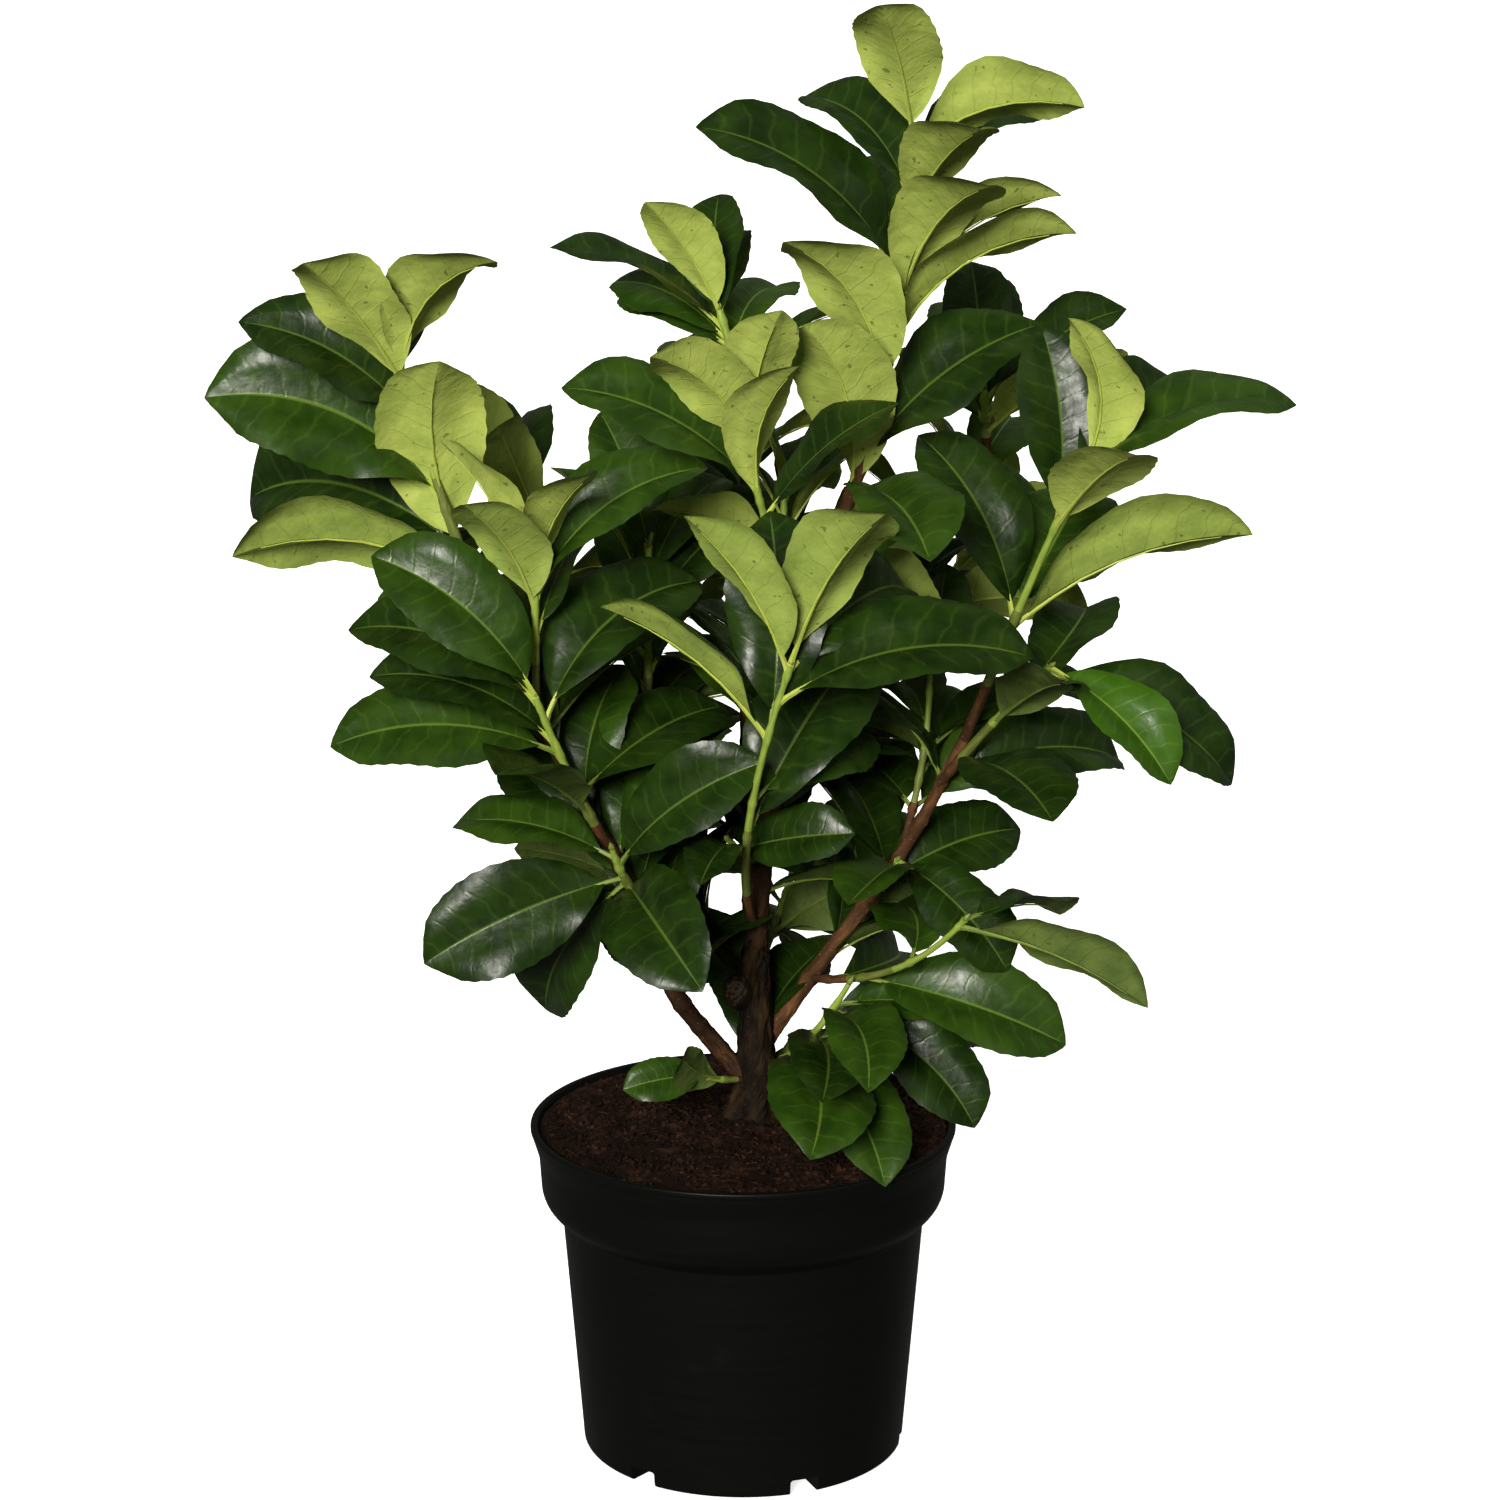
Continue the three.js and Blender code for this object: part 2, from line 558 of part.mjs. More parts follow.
// One leaf as a folded lens-shaped blade on its stalk. The midrib is an arc in the plane of the
// stem and the heading; the upper face looks towards the stem's tip.
function leafGeometry(stem, leaf, grow, outerOnly) {
  const { along, turn, open, length, roll, curl, fold, width } = leaf;
  const root = stem.getPoint(along);
  const axis = stem.getTangent(along);
  const out = new THREE.Vector3(Math.cos(radians(turn)), Math.sin(radians(turn)), 0);
  out.addScaledVector(axis, -out.dot(axis)).normalize();
  const startAngle = radians(open) - curl / 2;
  const section = (share, halfWidth, halfThickness) => {
    const angle = startAngle + curl * share;
    const centre = root.clone()
      .addScaledVector(axis, (length / curl) * (Math.sin(angle) - Math.sin(startAngle)))
      .addScaledVector(out, (length / curl) * (Math.cos(startAngle) - Math.cos(angle)));
    const ahead = axis.clone().multiplyScalar(Math.cos(angle)).addScaledVector(out, Math.sin(angle));
    const face = axis.clone().multiplyScalar(Math.sin(angle)).addScaledVector(out, -Math.cos(angle));
    face.applyAxisAngle(ahead, radians(roll) * Math.min(1, share / BLADE_STATIONS[0][0]));
    const across = new THREE.Vector3().crossVectors(ahead, face);
    if (halfWidth === 0) return [centre.addScaledVector(ahead, grow)];
    const reach = halfWidth * Math.cos(fold);
    const lift = halfWidth * Math.sin(fold);
    return [
      centre.clone().addScaledVector(across, -reach).addScaledVector(face, lift),
      centre.clone().addScaledVector(face, halfThickness),
      centre.clone().addScaledVector(across, reach).addScaledVector(face, lift),
      centre.clone().addScaledVector(face, -halfThickness),
    ];
  };
  const thick = LEAF_HALF_THICKNESS * length + grow;
  const wide = LEAF_HALF_WIDTH * length * width;
  const rings = [];
  if (!outerOnly) {
    rings.push(section(0, PETIOLE_HALF_WIDTH, PETIOLE_HALF_THICKNESS));
    rings.push(section(PETIOLE_SHARE, PETIOLE_HALF_WIDTH + grow, PETIOLE_HALF_THICKNESS + grow));
  }
  for (const [share, breadth] of BLADE_STATIONS) rings.push(section(share, breadth * wide + grow, thick));
  rings.push(section(1, 0, 0));
  return loft(rings);
}

function boxOf(geometry) {
  geometry.computeBoundingBox();
  return geometry.boundingBox;
}

function touches(solid, other) {
  return !solid.intersect(other).isEmpty();
}

// Whether a leaf keeps clear of every limb, the pot, the soil and the leaves placed so far. Leaves
// of the same shoot may meet near their stem.
function leafIsClear(stem, leaf, shootName, stems) {
  const outline = leafGeometry(stem, leaf, LEAF_CLEARANCE, false);
  const box = boxOf(outline);
  const whole = toSolid(outline);
  const outer = toSolid(leafGeometry(stem, leaf, LEAF_CLEARANCE, true));
  for (const { solid: limb } of limbs.values()) if (touches(whole, limb)) return false;
  for (const fixed of fixedSolids) if (touches(whole, fixed)) return false;
  for (const other of stems) if (touches(whole, other.solid)) return false;
  for (const placed of placedLeaves) {
    if (!box.intersectsBox(placed.box)) continue;
    if (placed.shoot === shootName && touches(outer, placed.outer)) return false;
    if (placed.shoot !== shootName && touches(whole, placed.whole)) return false;
  }
  return true;
}

// A shoot's stem starts inside its limb, or just past the limb's end when no root is given
function shootStem({ on, root, bend, tip, stout }) {
  if (root) return new THREE.QuadraticBezierCurve3(vector(root), vector(bend), vector(tip));
  const parent = limbs.get(on).curve;
  const end = parent.getPoint(1);
  const ahead = parent.getTangent(1);
  const lean = vector(bend).sub(end).angleTo(ahead);
  const start = end.addScaledVector(ahead, GAP + stout * Math.sin(lean));
  return new THREE.QuadraticBezierCurve3(start, vector(bend), vector(tip));
}

function stemSolid(stem, stout) {
  const radiusAt = (along) => between([stout, STEM_TIP_RADIUS], along);
  return clearOfLimbs(toSolid(limbGeometry(stem, radiusAt, STEM_STEPS, STEM_SIDES)));
}

// Each leaf takes the first of its poses that is clear, or is left out
function placeLeaves({ name, stem }, leaves) {
  const others = stems.filter((other) => other.name !== name);
  for (const poses of leaves) {
    const leaf = poses.find((pose) => leafIsClear(stem, pose, name, others));
    if (!leaf) continue;
    const geometry = leafGeometry(stem, leaf, 0, false);
    const outer = toSolid(leafGeometry(stem, leaf, 0, true));
    placedLeaves.push({ shoot: name, box: boxOf(geometry), whole: toSolid(geometry), outer });
  }
}

function makeShoot({ name, solid }) {
  const leaves = placedLeaves.filter((leaf) => leaf.shoot === name);
  addNode(name, mainBody(leaves.reduce((mass, leaf) => mass.add(leaf.whole), solid)), 'foliage');
}

makePot();
makeSoil();
makeTrunk();
BOUGHS.forEach(makeBough);
const stems = SHOOTS.map((shoot, index) => {
  const stem = shootStem(shoot);
  const draw = seededDraw(FIRST_SEED + SEED_STEP * index);
  return { name: shoot.name, shoot, stem, solid: stemSolid(stem, shoot.stout), draw };
});
for (const entry of stems) placeLeaves(entry, shownPoses(entry.shoot, entry.stem, entry.draw));
for (const entry of stems) placeLeaves(entry, hiddenPoses(entry.shoot, entry.draw));
stems.forEach(makeShoot);

export default plant;
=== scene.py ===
# %% [markdown]
# # A potted cherry laurel
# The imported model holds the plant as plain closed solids: a pot, its soil, a trunk, six boughs and
# one solid for each leafy shoot. Their places and sizes are right, so they are the frame of this
# scene. The cells below dress that frame: a turned plastic pot, crumbly peat, bark, and leaves with
# folded, veined blades that follow the same growth rule as the solids.

import math
from itertools import combinations

import bpy
import numpy as np
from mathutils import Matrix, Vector, kdtree, noise


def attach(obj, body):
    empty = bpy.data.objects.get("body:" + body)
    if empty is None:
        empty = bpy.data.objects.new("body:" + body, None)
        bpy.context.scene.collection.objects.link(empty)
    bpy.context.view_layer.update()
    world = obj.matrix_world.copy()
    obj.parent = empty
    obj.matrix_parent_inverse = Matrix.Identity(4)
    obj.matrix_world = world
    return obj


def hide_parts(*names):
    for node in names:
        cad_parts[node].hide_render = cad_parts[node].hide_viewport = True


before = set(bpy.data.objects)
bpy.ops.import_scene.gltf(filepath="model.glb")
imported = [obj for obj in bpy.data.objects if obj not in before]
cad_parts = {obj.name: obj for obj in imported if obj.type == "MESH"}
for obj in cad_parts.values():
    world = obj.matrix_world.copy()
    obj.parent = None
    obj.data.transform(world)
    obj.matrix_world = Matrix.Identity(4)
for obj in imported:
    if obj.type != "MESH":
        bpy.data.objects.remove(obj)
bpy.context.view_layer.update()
print("solids loaded:", len(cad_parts))

# %% [markdown]
# ## The view
# The photo looks slightly down on the pot from about two metres away. A long lens keeps the pot's
# sides nearly parallel. The camera could be found by trial, but the ellipses of the pot's lip and foot
# give its height and tilt, so those numbers are used as they are.

# %% Camera
EYE = (0.0037, -2.145, 0.942)
TILT_DOWN = math.radians(14.47)
LENS_MM = 100.656
SENSOR_MM = 36
FARTHEST = 200


def make_camera():
    """Sets the scene's camera to the photo's place, tilt and lens."""
    lens = bpy.data.cameras.new("photo_view")
    lens.sensor_width = SENSOR_MM
    lens.lens = LENS_MM
    lens.clip_end = FARTHEST
    camera = bpy.data.objects.new("photo_view", lens)
    camera.location = EYE
    camera.rotation_euler = (math.pi / 2 - TILT_DOWN, 0, 0)
    bpy.context.scene.collection.objects.link(camera)
    bpy.context.scene.camera = camera


make_camera()
print("camera at", EYE, "tilted down", round(math.degrees(TILT_DOWN), 2), "degrees")

# %% [markdown]
# ## Light
# A plant photographed for a catalogue stands under large soft lamps. Bright sky light all round would be
# the simplest way, but it would light the inside of the crown, which is deep in shade in a real shrub.
# So a broad sun beside the viewer is the main lamp and lights the pale under sides that face the front,
# a softbox at the right adds sheen, and the sky is dim. A third lamp shows the back of the plant; it
# makes no mirror spots, so it doesn't grey the leaves that are seen from the front.

# %% Lamps and sky
WARM_WHITE = (1.0, 0.97, 0.89)
LAMP_AIM = (0, 0, 0.4)
KEY_STRENGTH = 4.35
KEY_PLACE = (-0.7, -2.6, 1.45)
KEY_SIZE = math.radians(20)
BACK_STRENGTH = 3.4
BACK_PLACE = (0.7, 2.2, 1.9)
BACK_SIZE = math.radians(60)
BOX_POWER = 4
BOX_PLACE = (1.7, -1.2, 1.6)
BOX_AIM = (0, 0, 0.45)
BOX_SIZE = 1.8
SKY_STRENGTH = 0.09


def make_lamp(name, kind, energy, place, aim):
    """Adds one lamp that looks from its place towards a point."""
    light = bpy.data.lights.new(name, kind)
    light.energy = energy
    light.color = WARM_WHITE
    lamp = bpy.data.objects.new(name, light)
    lamp.location = place
    lamp.rotation_euler = (Vector(aim) - Vector(place)).to_track_quat("-Z", "Y").to_euler()
    bpy.context.scene.collection.objects.link(lamp)
    return lamp


def light_the_studio():
    """A broad key lamp from the front, a softer one from behind, a softbox and a dim even sky."""
    key = make_lamp("key_lamp", "SUN", KEY_STRENGTH, KEY_PLACE, LAMP_AIM)
    key.data.angle = KEY_SIZE
    side_box = make_lamp("side_softbox", "AREA", BOX_POWER, BOX_PLACE, BOX_AIM)
    side_box.data.size = BOX_SIZE
    back = make_lamp("back_lamp", "SUN", BACK_STRENGTH, BACK_PLACE, LAMP_AIM)
    back.data.angle = BACK_SIZE
    back.visible_glossy = False
    sky = bpy.data.worlds.new("studio_sky")
    sky.use_nodes = True
    glow = sky.node_tree.nodes["Background"].inputs
    glow["Color"].default_value = (*WARM_WHITE, 1)
    glow["Strength"].default_value = SKY_STRENGTH
    bpy.context.scene.world = sky
    bpy.context.scene.view_settings.view_transform = "Standard"


light_the_studio()
print("lamps:", [thing.name for thing in bpy.data.lights])

# %% [markdown]
# ## Finishes from nodes
# Every finish below is a small node tree on the Principled shader. Writing the same three lines for
# each node makes a tree hard to read, so a few short helpers add a node, feed its sockets and hand
# back the socket that comes next. Numbers that are the same all over go on the shader itself.

# %% Node helpers
def start_finish(name, roughness, **numbers):
    """A new material with its Principled shader; numbers set more of the shader's own sockets."""
    finish = bpy.data.materials.new(name)
    finish.use_nodes = True
    shader = finish.node_tree.nodes["Principled BSDF"]
    shader.inputs["Roughness"].default_value = roughness
    for socket, value in numbers.items():
        shader.inputs[socket.replace("_", " ")].default_value = value
    return finish, finish.node_tree, shader


def add_node(tree, kind, feeds, **settings):
    """Adds a node; a feed is a plain value or the output socket of another node."""
    node = tree.nodes.new(kind)
    for field, value in settings.items():
        setattr(node, field, value)
    for socket, value in feeds.items():
        if isinstance(value, bpy.types.NodeSocket):
            tree.links.new(value, node.inputs[socket])
        else:
            node.inputs[socket].default_value = value
    return node


def opaque(colour):
    """A plain colour as the four numbers of a socket; another node's output is handed on."""
    return colour if isinstance(colour, bpy.types.NodeSocket) else (*colour, 1)


def mix_colours(tree, share, first, second):
    """Blends two colours by a share from 0 to 1."""
    feeds = {0: share, 6: opaque(first), 7: opaque(second)}
    return add_node(tree, "ShaderNodeMix", feeds, data_type="RGBA").outputs[2]


def reckon(tree, operation, first, second=0.0):
    """One sum on one or two numbers."""
    return add_node(tree, "ShaderNodeMath", {0: first, 1: second}, operation=operation).outputs[0]


def stretch(tree, value, low, high, to_low=0.0, to_high=1.0):
    """Maps a range of numbers smoothly onto another range."""
    feeds = {"Value": value, "From Min": low, "From Max": high, "To Min": to_low, "To Max": to_high}
    return add_node(tree, "ShaderNodeMapRange", feeds, interpolation_type="SMOOTHSTEP").outputs[0]


def speckle(tree, place, scale, detail=3.0):
    """Soft noise at a scale, read at a place."""
    feeds = {"Vector": place, "Scale": scale, "Detail": detail}
    return add_node(tree, "ShaderNodeTexNoise", feeds).outputs[0]


def blotches(tree, place, scale, detail, *span):
    """Soft noise with part of its range stretched, for patches, streaks and grains."""
    return stretch(tree, speckle(tree, place, scale, detail), *span)


def object_place(tree, squeeze=(1, 1, 1)):
    """Object coordinates, squeezed along their axes."""
    place = add_node(tree, "ShaderNodeTexCoord", {}).outputs["Object"]
    return add_node(tree, "ShaderNodeMapping", {"Vector": place, "Scale": squeeze}).outputs[0]


def map_place(tree, map_name, squeeze=(1, 1, 1)):
    """The piece's own surface map, squeezed along its axes."""
    place = add_node(tree, "ShaderNodeUVMap", {}, uv_map=map_name).outputs[0]
    return add_node(tree, "ShaderNodeMapping", {"Vector": place, "Scale": squeeze}).outputs[0]


def roughen(tree, shader, height, depth, strength=1.0):
    """Feeds a height, in metres of depth, into the shader's normal."""
    feeds = {"Height": height, "Distance": depth, "Strength": strength}
    tree.links.new(add_node(tree, "ShaderNodeBump", feeds).outputs[0], shader.inputs["Normal"])


def feed(tree, shader, socket, value):
    """Links a value to one socket of the shader."""
    tree.links.new(value, shader.inputs[socket])


print("helpers for finishes are ready")

# %% [markdown]
# ## The white floor
# The photo's ground is plain white and shows hardly any shadow. A white plane alone would turn grey
# under these lamps and throw light back up into the crown. So the floor glows a little by itself, and is
# hidden from the rays that other surfaces send out.

# %% Floor
FLOOR_SIZE = 60
FLOOR_DROP = 0.0003
FLOOR_GLOW = 0.75


def make_floor():
    """A wide white plane just under the pot's foot."""
    bpy.ops.object.select_all(action="DESELECT")
    bpy.ops.mesh.primitive_plane_add(size=FLOOR_SIZE, location=(0, 0, -FLOOR_DROP))
    floor = bpy.context.object
    floor.name = "studio_floor"
    bpy.ops.object.mode_set(mode="EDIT")
    bpy.ops.mesh.select_all(action="SELECT")
    bpy.ops.mesh.subdivide(number_cuts=3)
    bpy.ops.object.mode_set(mode="OBJECT")
    finish, tree, shader = start_finish("white_sweep", 0.85, Emission_Strength=FLOOR_GLOW)
    shader.inputs["Emission Color"].default_value = (1, 1, 1, 1)
    dust = speckle(tree, object_place(tree), 3.0)
    feed(tree, shader, "Base Color", mix_colours(tree, dust, (0.86, 0.86, 0.86), (0.89, 0.89, 0.89)))
    floor.data.materials.append(finish)
    floor.visible_diffuse = False
    floor.visible_glossy = False


make_floor()
print("floor is staged")

# %% [markdown]
# ## Putting pieces in the frame
# Small parts such as leaves, twigs and crumbs come in hundreds. Adding each with an operator would be
# slow, so they are made as arrays of points and faces and joined into one mesh per kind. Neighbouring
# strips are made apart, each with its own place on the surface map, and are then merged where they
# touch, so that the shapes close and the maps keep their seams.

# %% Piece helpers
MM = 0.001
MERGE = 2e-6


def only_select(piece):
    """Selects one object and makes it the active one."""
    bpy.ops.object.select_all(action="DESELECT")
    piece.select_set(True)
    bpy.context.view_layer.objects.active = piece


def settle(piece, nodes=(), smooth_angle=40):
    """Smooths a finished piece, seats it at the origin and ties it to the frame."""
    only_select(piece)
    bpy.ops.object.transform_apply(location=True, rotation=True, scale=True)
    bpy.ops.object.shade_smooth_by_angle(angle=math.radians(smooth_angle))
    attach(piece, "root")
    if nodes:
        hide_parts(*nodes)
    return piece


class Patchwork:
    """Collects points, faces, surface maps and finishes of many small shapes for one mesh."""

    def __init__(self, *map_names):
        self.points = []
        self.faces = []
        self.finish_of_face = []
        self.maps = {name: [] for name in map_names}
        self.count = 0

    def add(self, points, faces, finish_of_face, **maps):
        self.points.append(np.asarray(points))
        self.faces.extend(tuple(corner + self.count for corner in face) for face in faces)
        self.finish_of_face.extend(finish_of_face)
        for name, places in maps.items():
            self.maps[name].append(np.asarray(places))
        self.count += len(points)

    def make(self, name, finishes):
        mesh = bpy.data.meshes.new(name)
        mesh.from_pydata(np.concatenate(self.points).tolist(), [], self.faces)
        for finish in finishes:
            mesh.materials.append(finish)
        mesh.polygons.foreach_set("material_index", self.finish_of_face)
        corners = np.empty(len(mesh.loops), dtype=np.int32)
        mesh.loops.foreach_get("vertex_index", corners)
        for map_name, places in self.maps.items():
            layer = mesh.uv_layers.new(name=map_name)
            layer.data.foreach_set("uv", np.concatenate(places)[corners].astype(np.float32).ravel())
        piece = bpy.data.objects.new(name, mesh)
        bpy.context.scene.collection.objects.link(piece)
        only_select(piece)
        bpy.ops.object.mode_set(mode="EDIT")
        bpy.ops.mesh.select_all(action="SELECT")
        bpy.ops.mesh.remove_doubles(threshold=MERGE)
        bpy.ops.object.mode_set(mode="OBJECT")
        return piece


print("piece helpers are ready")

# %% [markdown]
# ## The pot
# A nursery pot is blown or moulded from thin black plastic: a tapering wall, a rounded shoulder, an
# upright collar and a rolled lip. A cylinder could be scaled ring by ring, but a turned shape is
# easier to read as one outline. So a single point is extruded along the wall's section and then spun
# round the pot's middle. The corners of that section are rounded first, because every moulded edge
# catches a thin line of light.

# %% Pot outline
# Corners of the wall's section from the middle of the underside, up the outside, over the lip and
# down the inside: radius, height and rounding in millimetres.
POT_SECTION = [
    (0, 0, 0), (87.2, 0, 3), (98, 131, 1), (108.8, 141.2, 7), (110.4, 165.6, 3), (113.9, 176.8, 1.5),
    (114.1, 178.4, 0.4), (114.9, 179.2, 0.8), (114.9, 182, 1.2), (111.4, 182, 1.2), (110, 179, 1),
    (107.8, 166, 3), (105, 142.5, 5), (95.8, 132.5, 3), (84.8, 12, 1), (0, 12, 0),
]
CORNER_STEPS = 6
POT_TURN_STEPS = 128


def round_corners(corners):
    """Points along a section whose corners are rounded by short curves."""
    outline = []
    for k, (radius, height, rounding) in enumerate(corners):
        here = np.array([radius, height], dtype=float)
        if rounding == 0:
            outline.append(here)
            continue
        back = np.array(corners[k - 1][:2]) - here
        onward = np.array(corners[k + 1][:2]) - here
        start = here + back * rounding / np.linalg.norm(back)
        end = here + onward * rounding / np.linalg.norm(onward)
        for share in np.linspace(0, 1, CORNER_STEPS + 1):
            outline.append((1 - share) ** 2 * start + 2 * (1 - share) * share * here + share ** 2 * end)
    return np.array(outline) * MM


def turn_section(name, outline, steps):
    """Extrudes one point along a section and spins it round the Z axis into a closed shape."""
    bpy.ops.object.select_all(action="DESELECT")
    bpy.ops.mesh.primitive_plane_add(size=MM, location=(0, 0, 0))
    turned = bpy.context.object
    turned.name = name
    turned.data.name = name
    bpy.ops.object.mode_set(mode="EDIT")
    bpy.ops.mesh.select_all(action="SELECT")
    bpy.ops.mesh.merge(type="CENTER")
    bpy.ops.transform.translate(value=(outline[0][0], 0, outline[0][1]))
    for run, rise in np.diff(outline, axis=0):
        move = {"value": (run, 0, rise), "orient_type": "GLOBAL"}
        bpy.ops.mesh.extrude_region_move(TRANSFORM_OT_translate=move)
    bpy.ops.mesh.select_all(action="SELECT")
    bpy.ops.mesh.spin(steps=steps, angle=2 * math.pi, center=(0, 0, 0), axis=(0, 0, 1))
    bpy.ops.mesh.select_all(action="SELECT")
    bpy.ops.mesh.remove_doubles(threshold=MERGE)
    bpy.ops.mesh.normals_make_consistent(inside=False)
    bpy.ops.object.mode_set(mode="OBJECT")
    return turned


pot = turn_section("nursery_pot", round_corners(POT_SECTION), POT_TURN_STEPS)
print("pot turned:", len(pot.data.polygons), "faces")

# %% [markdown]
# ### Drain notches
# Water leaves through six low notches at the pot's foot. Each is the gap that a rounded block leaves,
# so one block is modelled for each notch, its edges are bevelled, and a Boolean modifier takes all six
# away in one cut.

# %% Drain notches
DRAIN_NOTCHES = 6
DRAIN_FIRST_ANGLE = -68
DRAIN_BLOCK = (0.037, 0.016, 0.018)
DRAIN_MIDDLE = 0.0785
DRAIN_ROUNDING = 1.6 * MM


def notch_block(angle):
    """One block with bevelled edges, pointing away from the pot's middle."""
    bpy.ops.object.select_all(action="DESELECT")
    place = (DRAIN_MIDDLE * math.cos(angle), DRAIN_MIDDLE * math.sin(angle), 0)
    bpy.ops.mesh.primitive_cube_add(size=1, location=place, rotation=(0, 0, angle))
    block = bpy.context.object
    block.scale = DRAIN_BLOCK
    bpy.ops.object.transform_apply(location=True, rotation=True, scale=True)
    bpy.ops.object.mode_set(mode="EDIT")
    bpy.ops.mesh.select_all(action="SELECT")
    bpy.ops.mesh.bevel(offset=DRAIN_ROUNDING, segments=3, affect="EDGES")
    bpy.ops.object.mode_set(mode="OBJECT")
    return block


def cut_drain_notches(pot):
    """Takes six blocks away from the pot's foot."""
    pitch = 360 / DRAIN_NOTCHES
    blocks = [notch_block(math.radians(DRAIN_FIRST_ANGLE + pitch * k)) for k in range(DRAIN_NOTCHES)]
    bpy.ops.object.select_all(action="DESELECT")
    for block in blocks:
        block.select_set(True)
    bpy.context.view_layer.objects.active = blocks[0]
    bpy.ops.object.join()
    only_select(pot)
    cut = pot.modifiers.new("drain_notches", "BOOLEAN")
    cut.operation = "DIFFERENCE"
    cut.solver = "EXACT"
    cut.object = blocks[0]
    bpy.ops.object.modifier_apply(modifier=cut.name)
    bpy.data.objects.remove(blocks[0])


cut_drain_notches(pot)
print("pot with notches:", len(pot.data.polygons), "faces")

# %% [markdown]
# ### Black satin plastic
# The plastic is nearly black with a soft shine. Flow lines from moulding run round the wall, a fine
# grain breaks the highlights, and some dry peat dust sits on it. Noise squeezed along Z gives the flow
# lines, fine noise the grain, and broad noise the dust.

# %% Pot finish
def satin_black_plastic():
    """Near-black plastic with flow lines, fine grain and a little dust."""
    finish, tree, shader = start_finish("satin_black_plastic", 0.36, Specular_IOR_Level=0.1)
    place = object_place(tree)
    flow = speckle(tree, object_place(tree, (4, 4, 90)), 4.0)
    grain = speckle(tree, place, 1400.0, 2.0)
    dust = blotches(tree, place, 45.0, 6.0, 0.58, 0.8, 0, 0.1)
    colour = mix_colours(tree, flow, (0.0026, 0.0027, 0.0024), (0.0040, 0.0041, 0.0036))
    feed(tree, shader, "Base Color", mix_colours(tree, dust, colour, (0.012, 0.010, 0.009)))
    wear = stretch(tree, flow, 0.3, 0.7, 0.34, 0.37)
    feed(tree, shader, "Roughness", reckon(tree, "ADD", wear, reckon(tree, "MULTIPLY", dust, 0.5)))
    relief = reckon(tree, "ADD", grain, reckon(tree, "MULTIPLY", flow, 0.3))
    roughen(tree, shader, relief, 0.06 * MM, 0.5)
    return finish


pot.data.materials.append(satin_black_plastic())
settle(pot, ["pot"], 35)
print("pot finished")

# %% [markdown]
# ## Peat soil
# The soil mounds up from the wall to the stem. It is a dark mass of crumbs with reddish fibres on top.
# A disc with a noise texture would look like a carpet from the side, so the mound is turned first, its
# points are lifted by noise, and then loose crumbs and fibres are strewn over it.

# %% Soil mound
SOIL_RINGS = 84
SOIL_TURN_STEPS = 200
SOIL_EDGE = 109.7
SOIL_DEPTH = 30
SOIL_REACHES = [0, 34, 58, 84, SOIL_EDGE]
SOIL_HEIGHTS = [184, 184, 182.2, 180.6, 179]
STEM_FOOT = (7, 4)
HEAP_HEIGHT = 1.8
HEAP_AREA = 420
LUMP_HEIGHT = 2.3
LUMP_PITCH = 13
GRIT_HEIGHT = 0.9
GRIT_PITCH = 2.6


def soil_height(radius):
    """Height of the smooth mound in millimetres at a distance from the pot's middle."""
    return np.interp(radius, SOIL_REACHES, SOIL_HEIGHTS)


def soil_relief(x, y):
    """Lumps of the peat in millimetres, and a small heap at the stem's foot."""
    lumps = LUMP_HEIGHT * noise.fractal(Vector((x / LUMP_PITCH, y / LUMP_PITCH, 3.1)), 0.9, 2.1, 4)
    grit = GRIT_HEIGHT * noise.noise(Vector((x / GRIT_PITCH, y / GRIT_PITCH, 7.7)))
    heap = HEAP_HEIGHT * math.exp(-((x - STEM_FOOT[0]) ** 2 + (y - STEM_FOOT[1]) ** 2) / HEAP_AREA)
    return lumps + grit + heap


def make_mound():
    """Turns the mound and lifts its upper points by the relief."""
    radii = np.linspace(0, SOIL_EDGE, SOIL_RINGS)
    top = np.stack([radii, soil_height(radii)], axis=1)
    floor = soil_height(SOIL_EDGE) - SOIL_DEPTH
    under = np.array([[SOIL_EDGE - 3, floor], [0, floor]])
    mound = turn_section("peat_mound", np.concatenate([top, under]) * MM, SOIL_TURN_STEPS)
    for point in mound.data.vertices:
        x, y, z = point.co / MM
        reach = math.hypot(x, y)
        if z > floor + 1:
            point.co.z += soil_relief(x, y) * min(1, (SOIL_EDGE - reach) / 4 + 0.3) * MM
    return mound


mound = make_mound()
print("mound:", len(mound.data.polygons), "faces")

# %% [markdown]
# ### Peat finishes
# Moist peat is matt and nearly black, with browner grains and red fibres in it. A picture of soil would
# show its own edges and size on a mound like this, so noise at three sizes makes the mottle and the fine
# grain. One function makes the three tones.

# %% Soil finishes
def peat(name, dark, light):
    """Matt dark brown with finer dark and light grains."""
    finish, tree, shader = start_finish(name, 0.95, Specular_IOR_Level=0.08)
    place = object_place(tree)
    grains = blotches(tree, place, 260.0, 6.0, 0.36, 0.68)
    patches = blotches(tree, place, 48.0, 3.0, 0.35, 0.7)
    share = reckon(tree, "MULTIPLY", grains, patches)
    feed(tree, shader, "Base Color", mix_colours(tree, share, dark, light))
    roughen(tree, shader, speckle(tree, place, 900.0, 4.0), 0.5 * MM, 0.9)
    return finish


PEAT_DARK = peat("dark_peat", (0.007, 0.0033, 0.0021), (0.034, 0.015, 0.009))
PEAT_BROWN = peat("brown_peat", (0.015, 0.007, 0.004), (0.058, 0.026, 0.0155))
PEAT_RED = peat("red_fibre", (0.022, 0.009, 0.0045), (0.07, 0.031, 0.015))
mound.data.materials.append(PEAT_DARK)
settle(mound, ["soil"], 80)
print("mound finished")

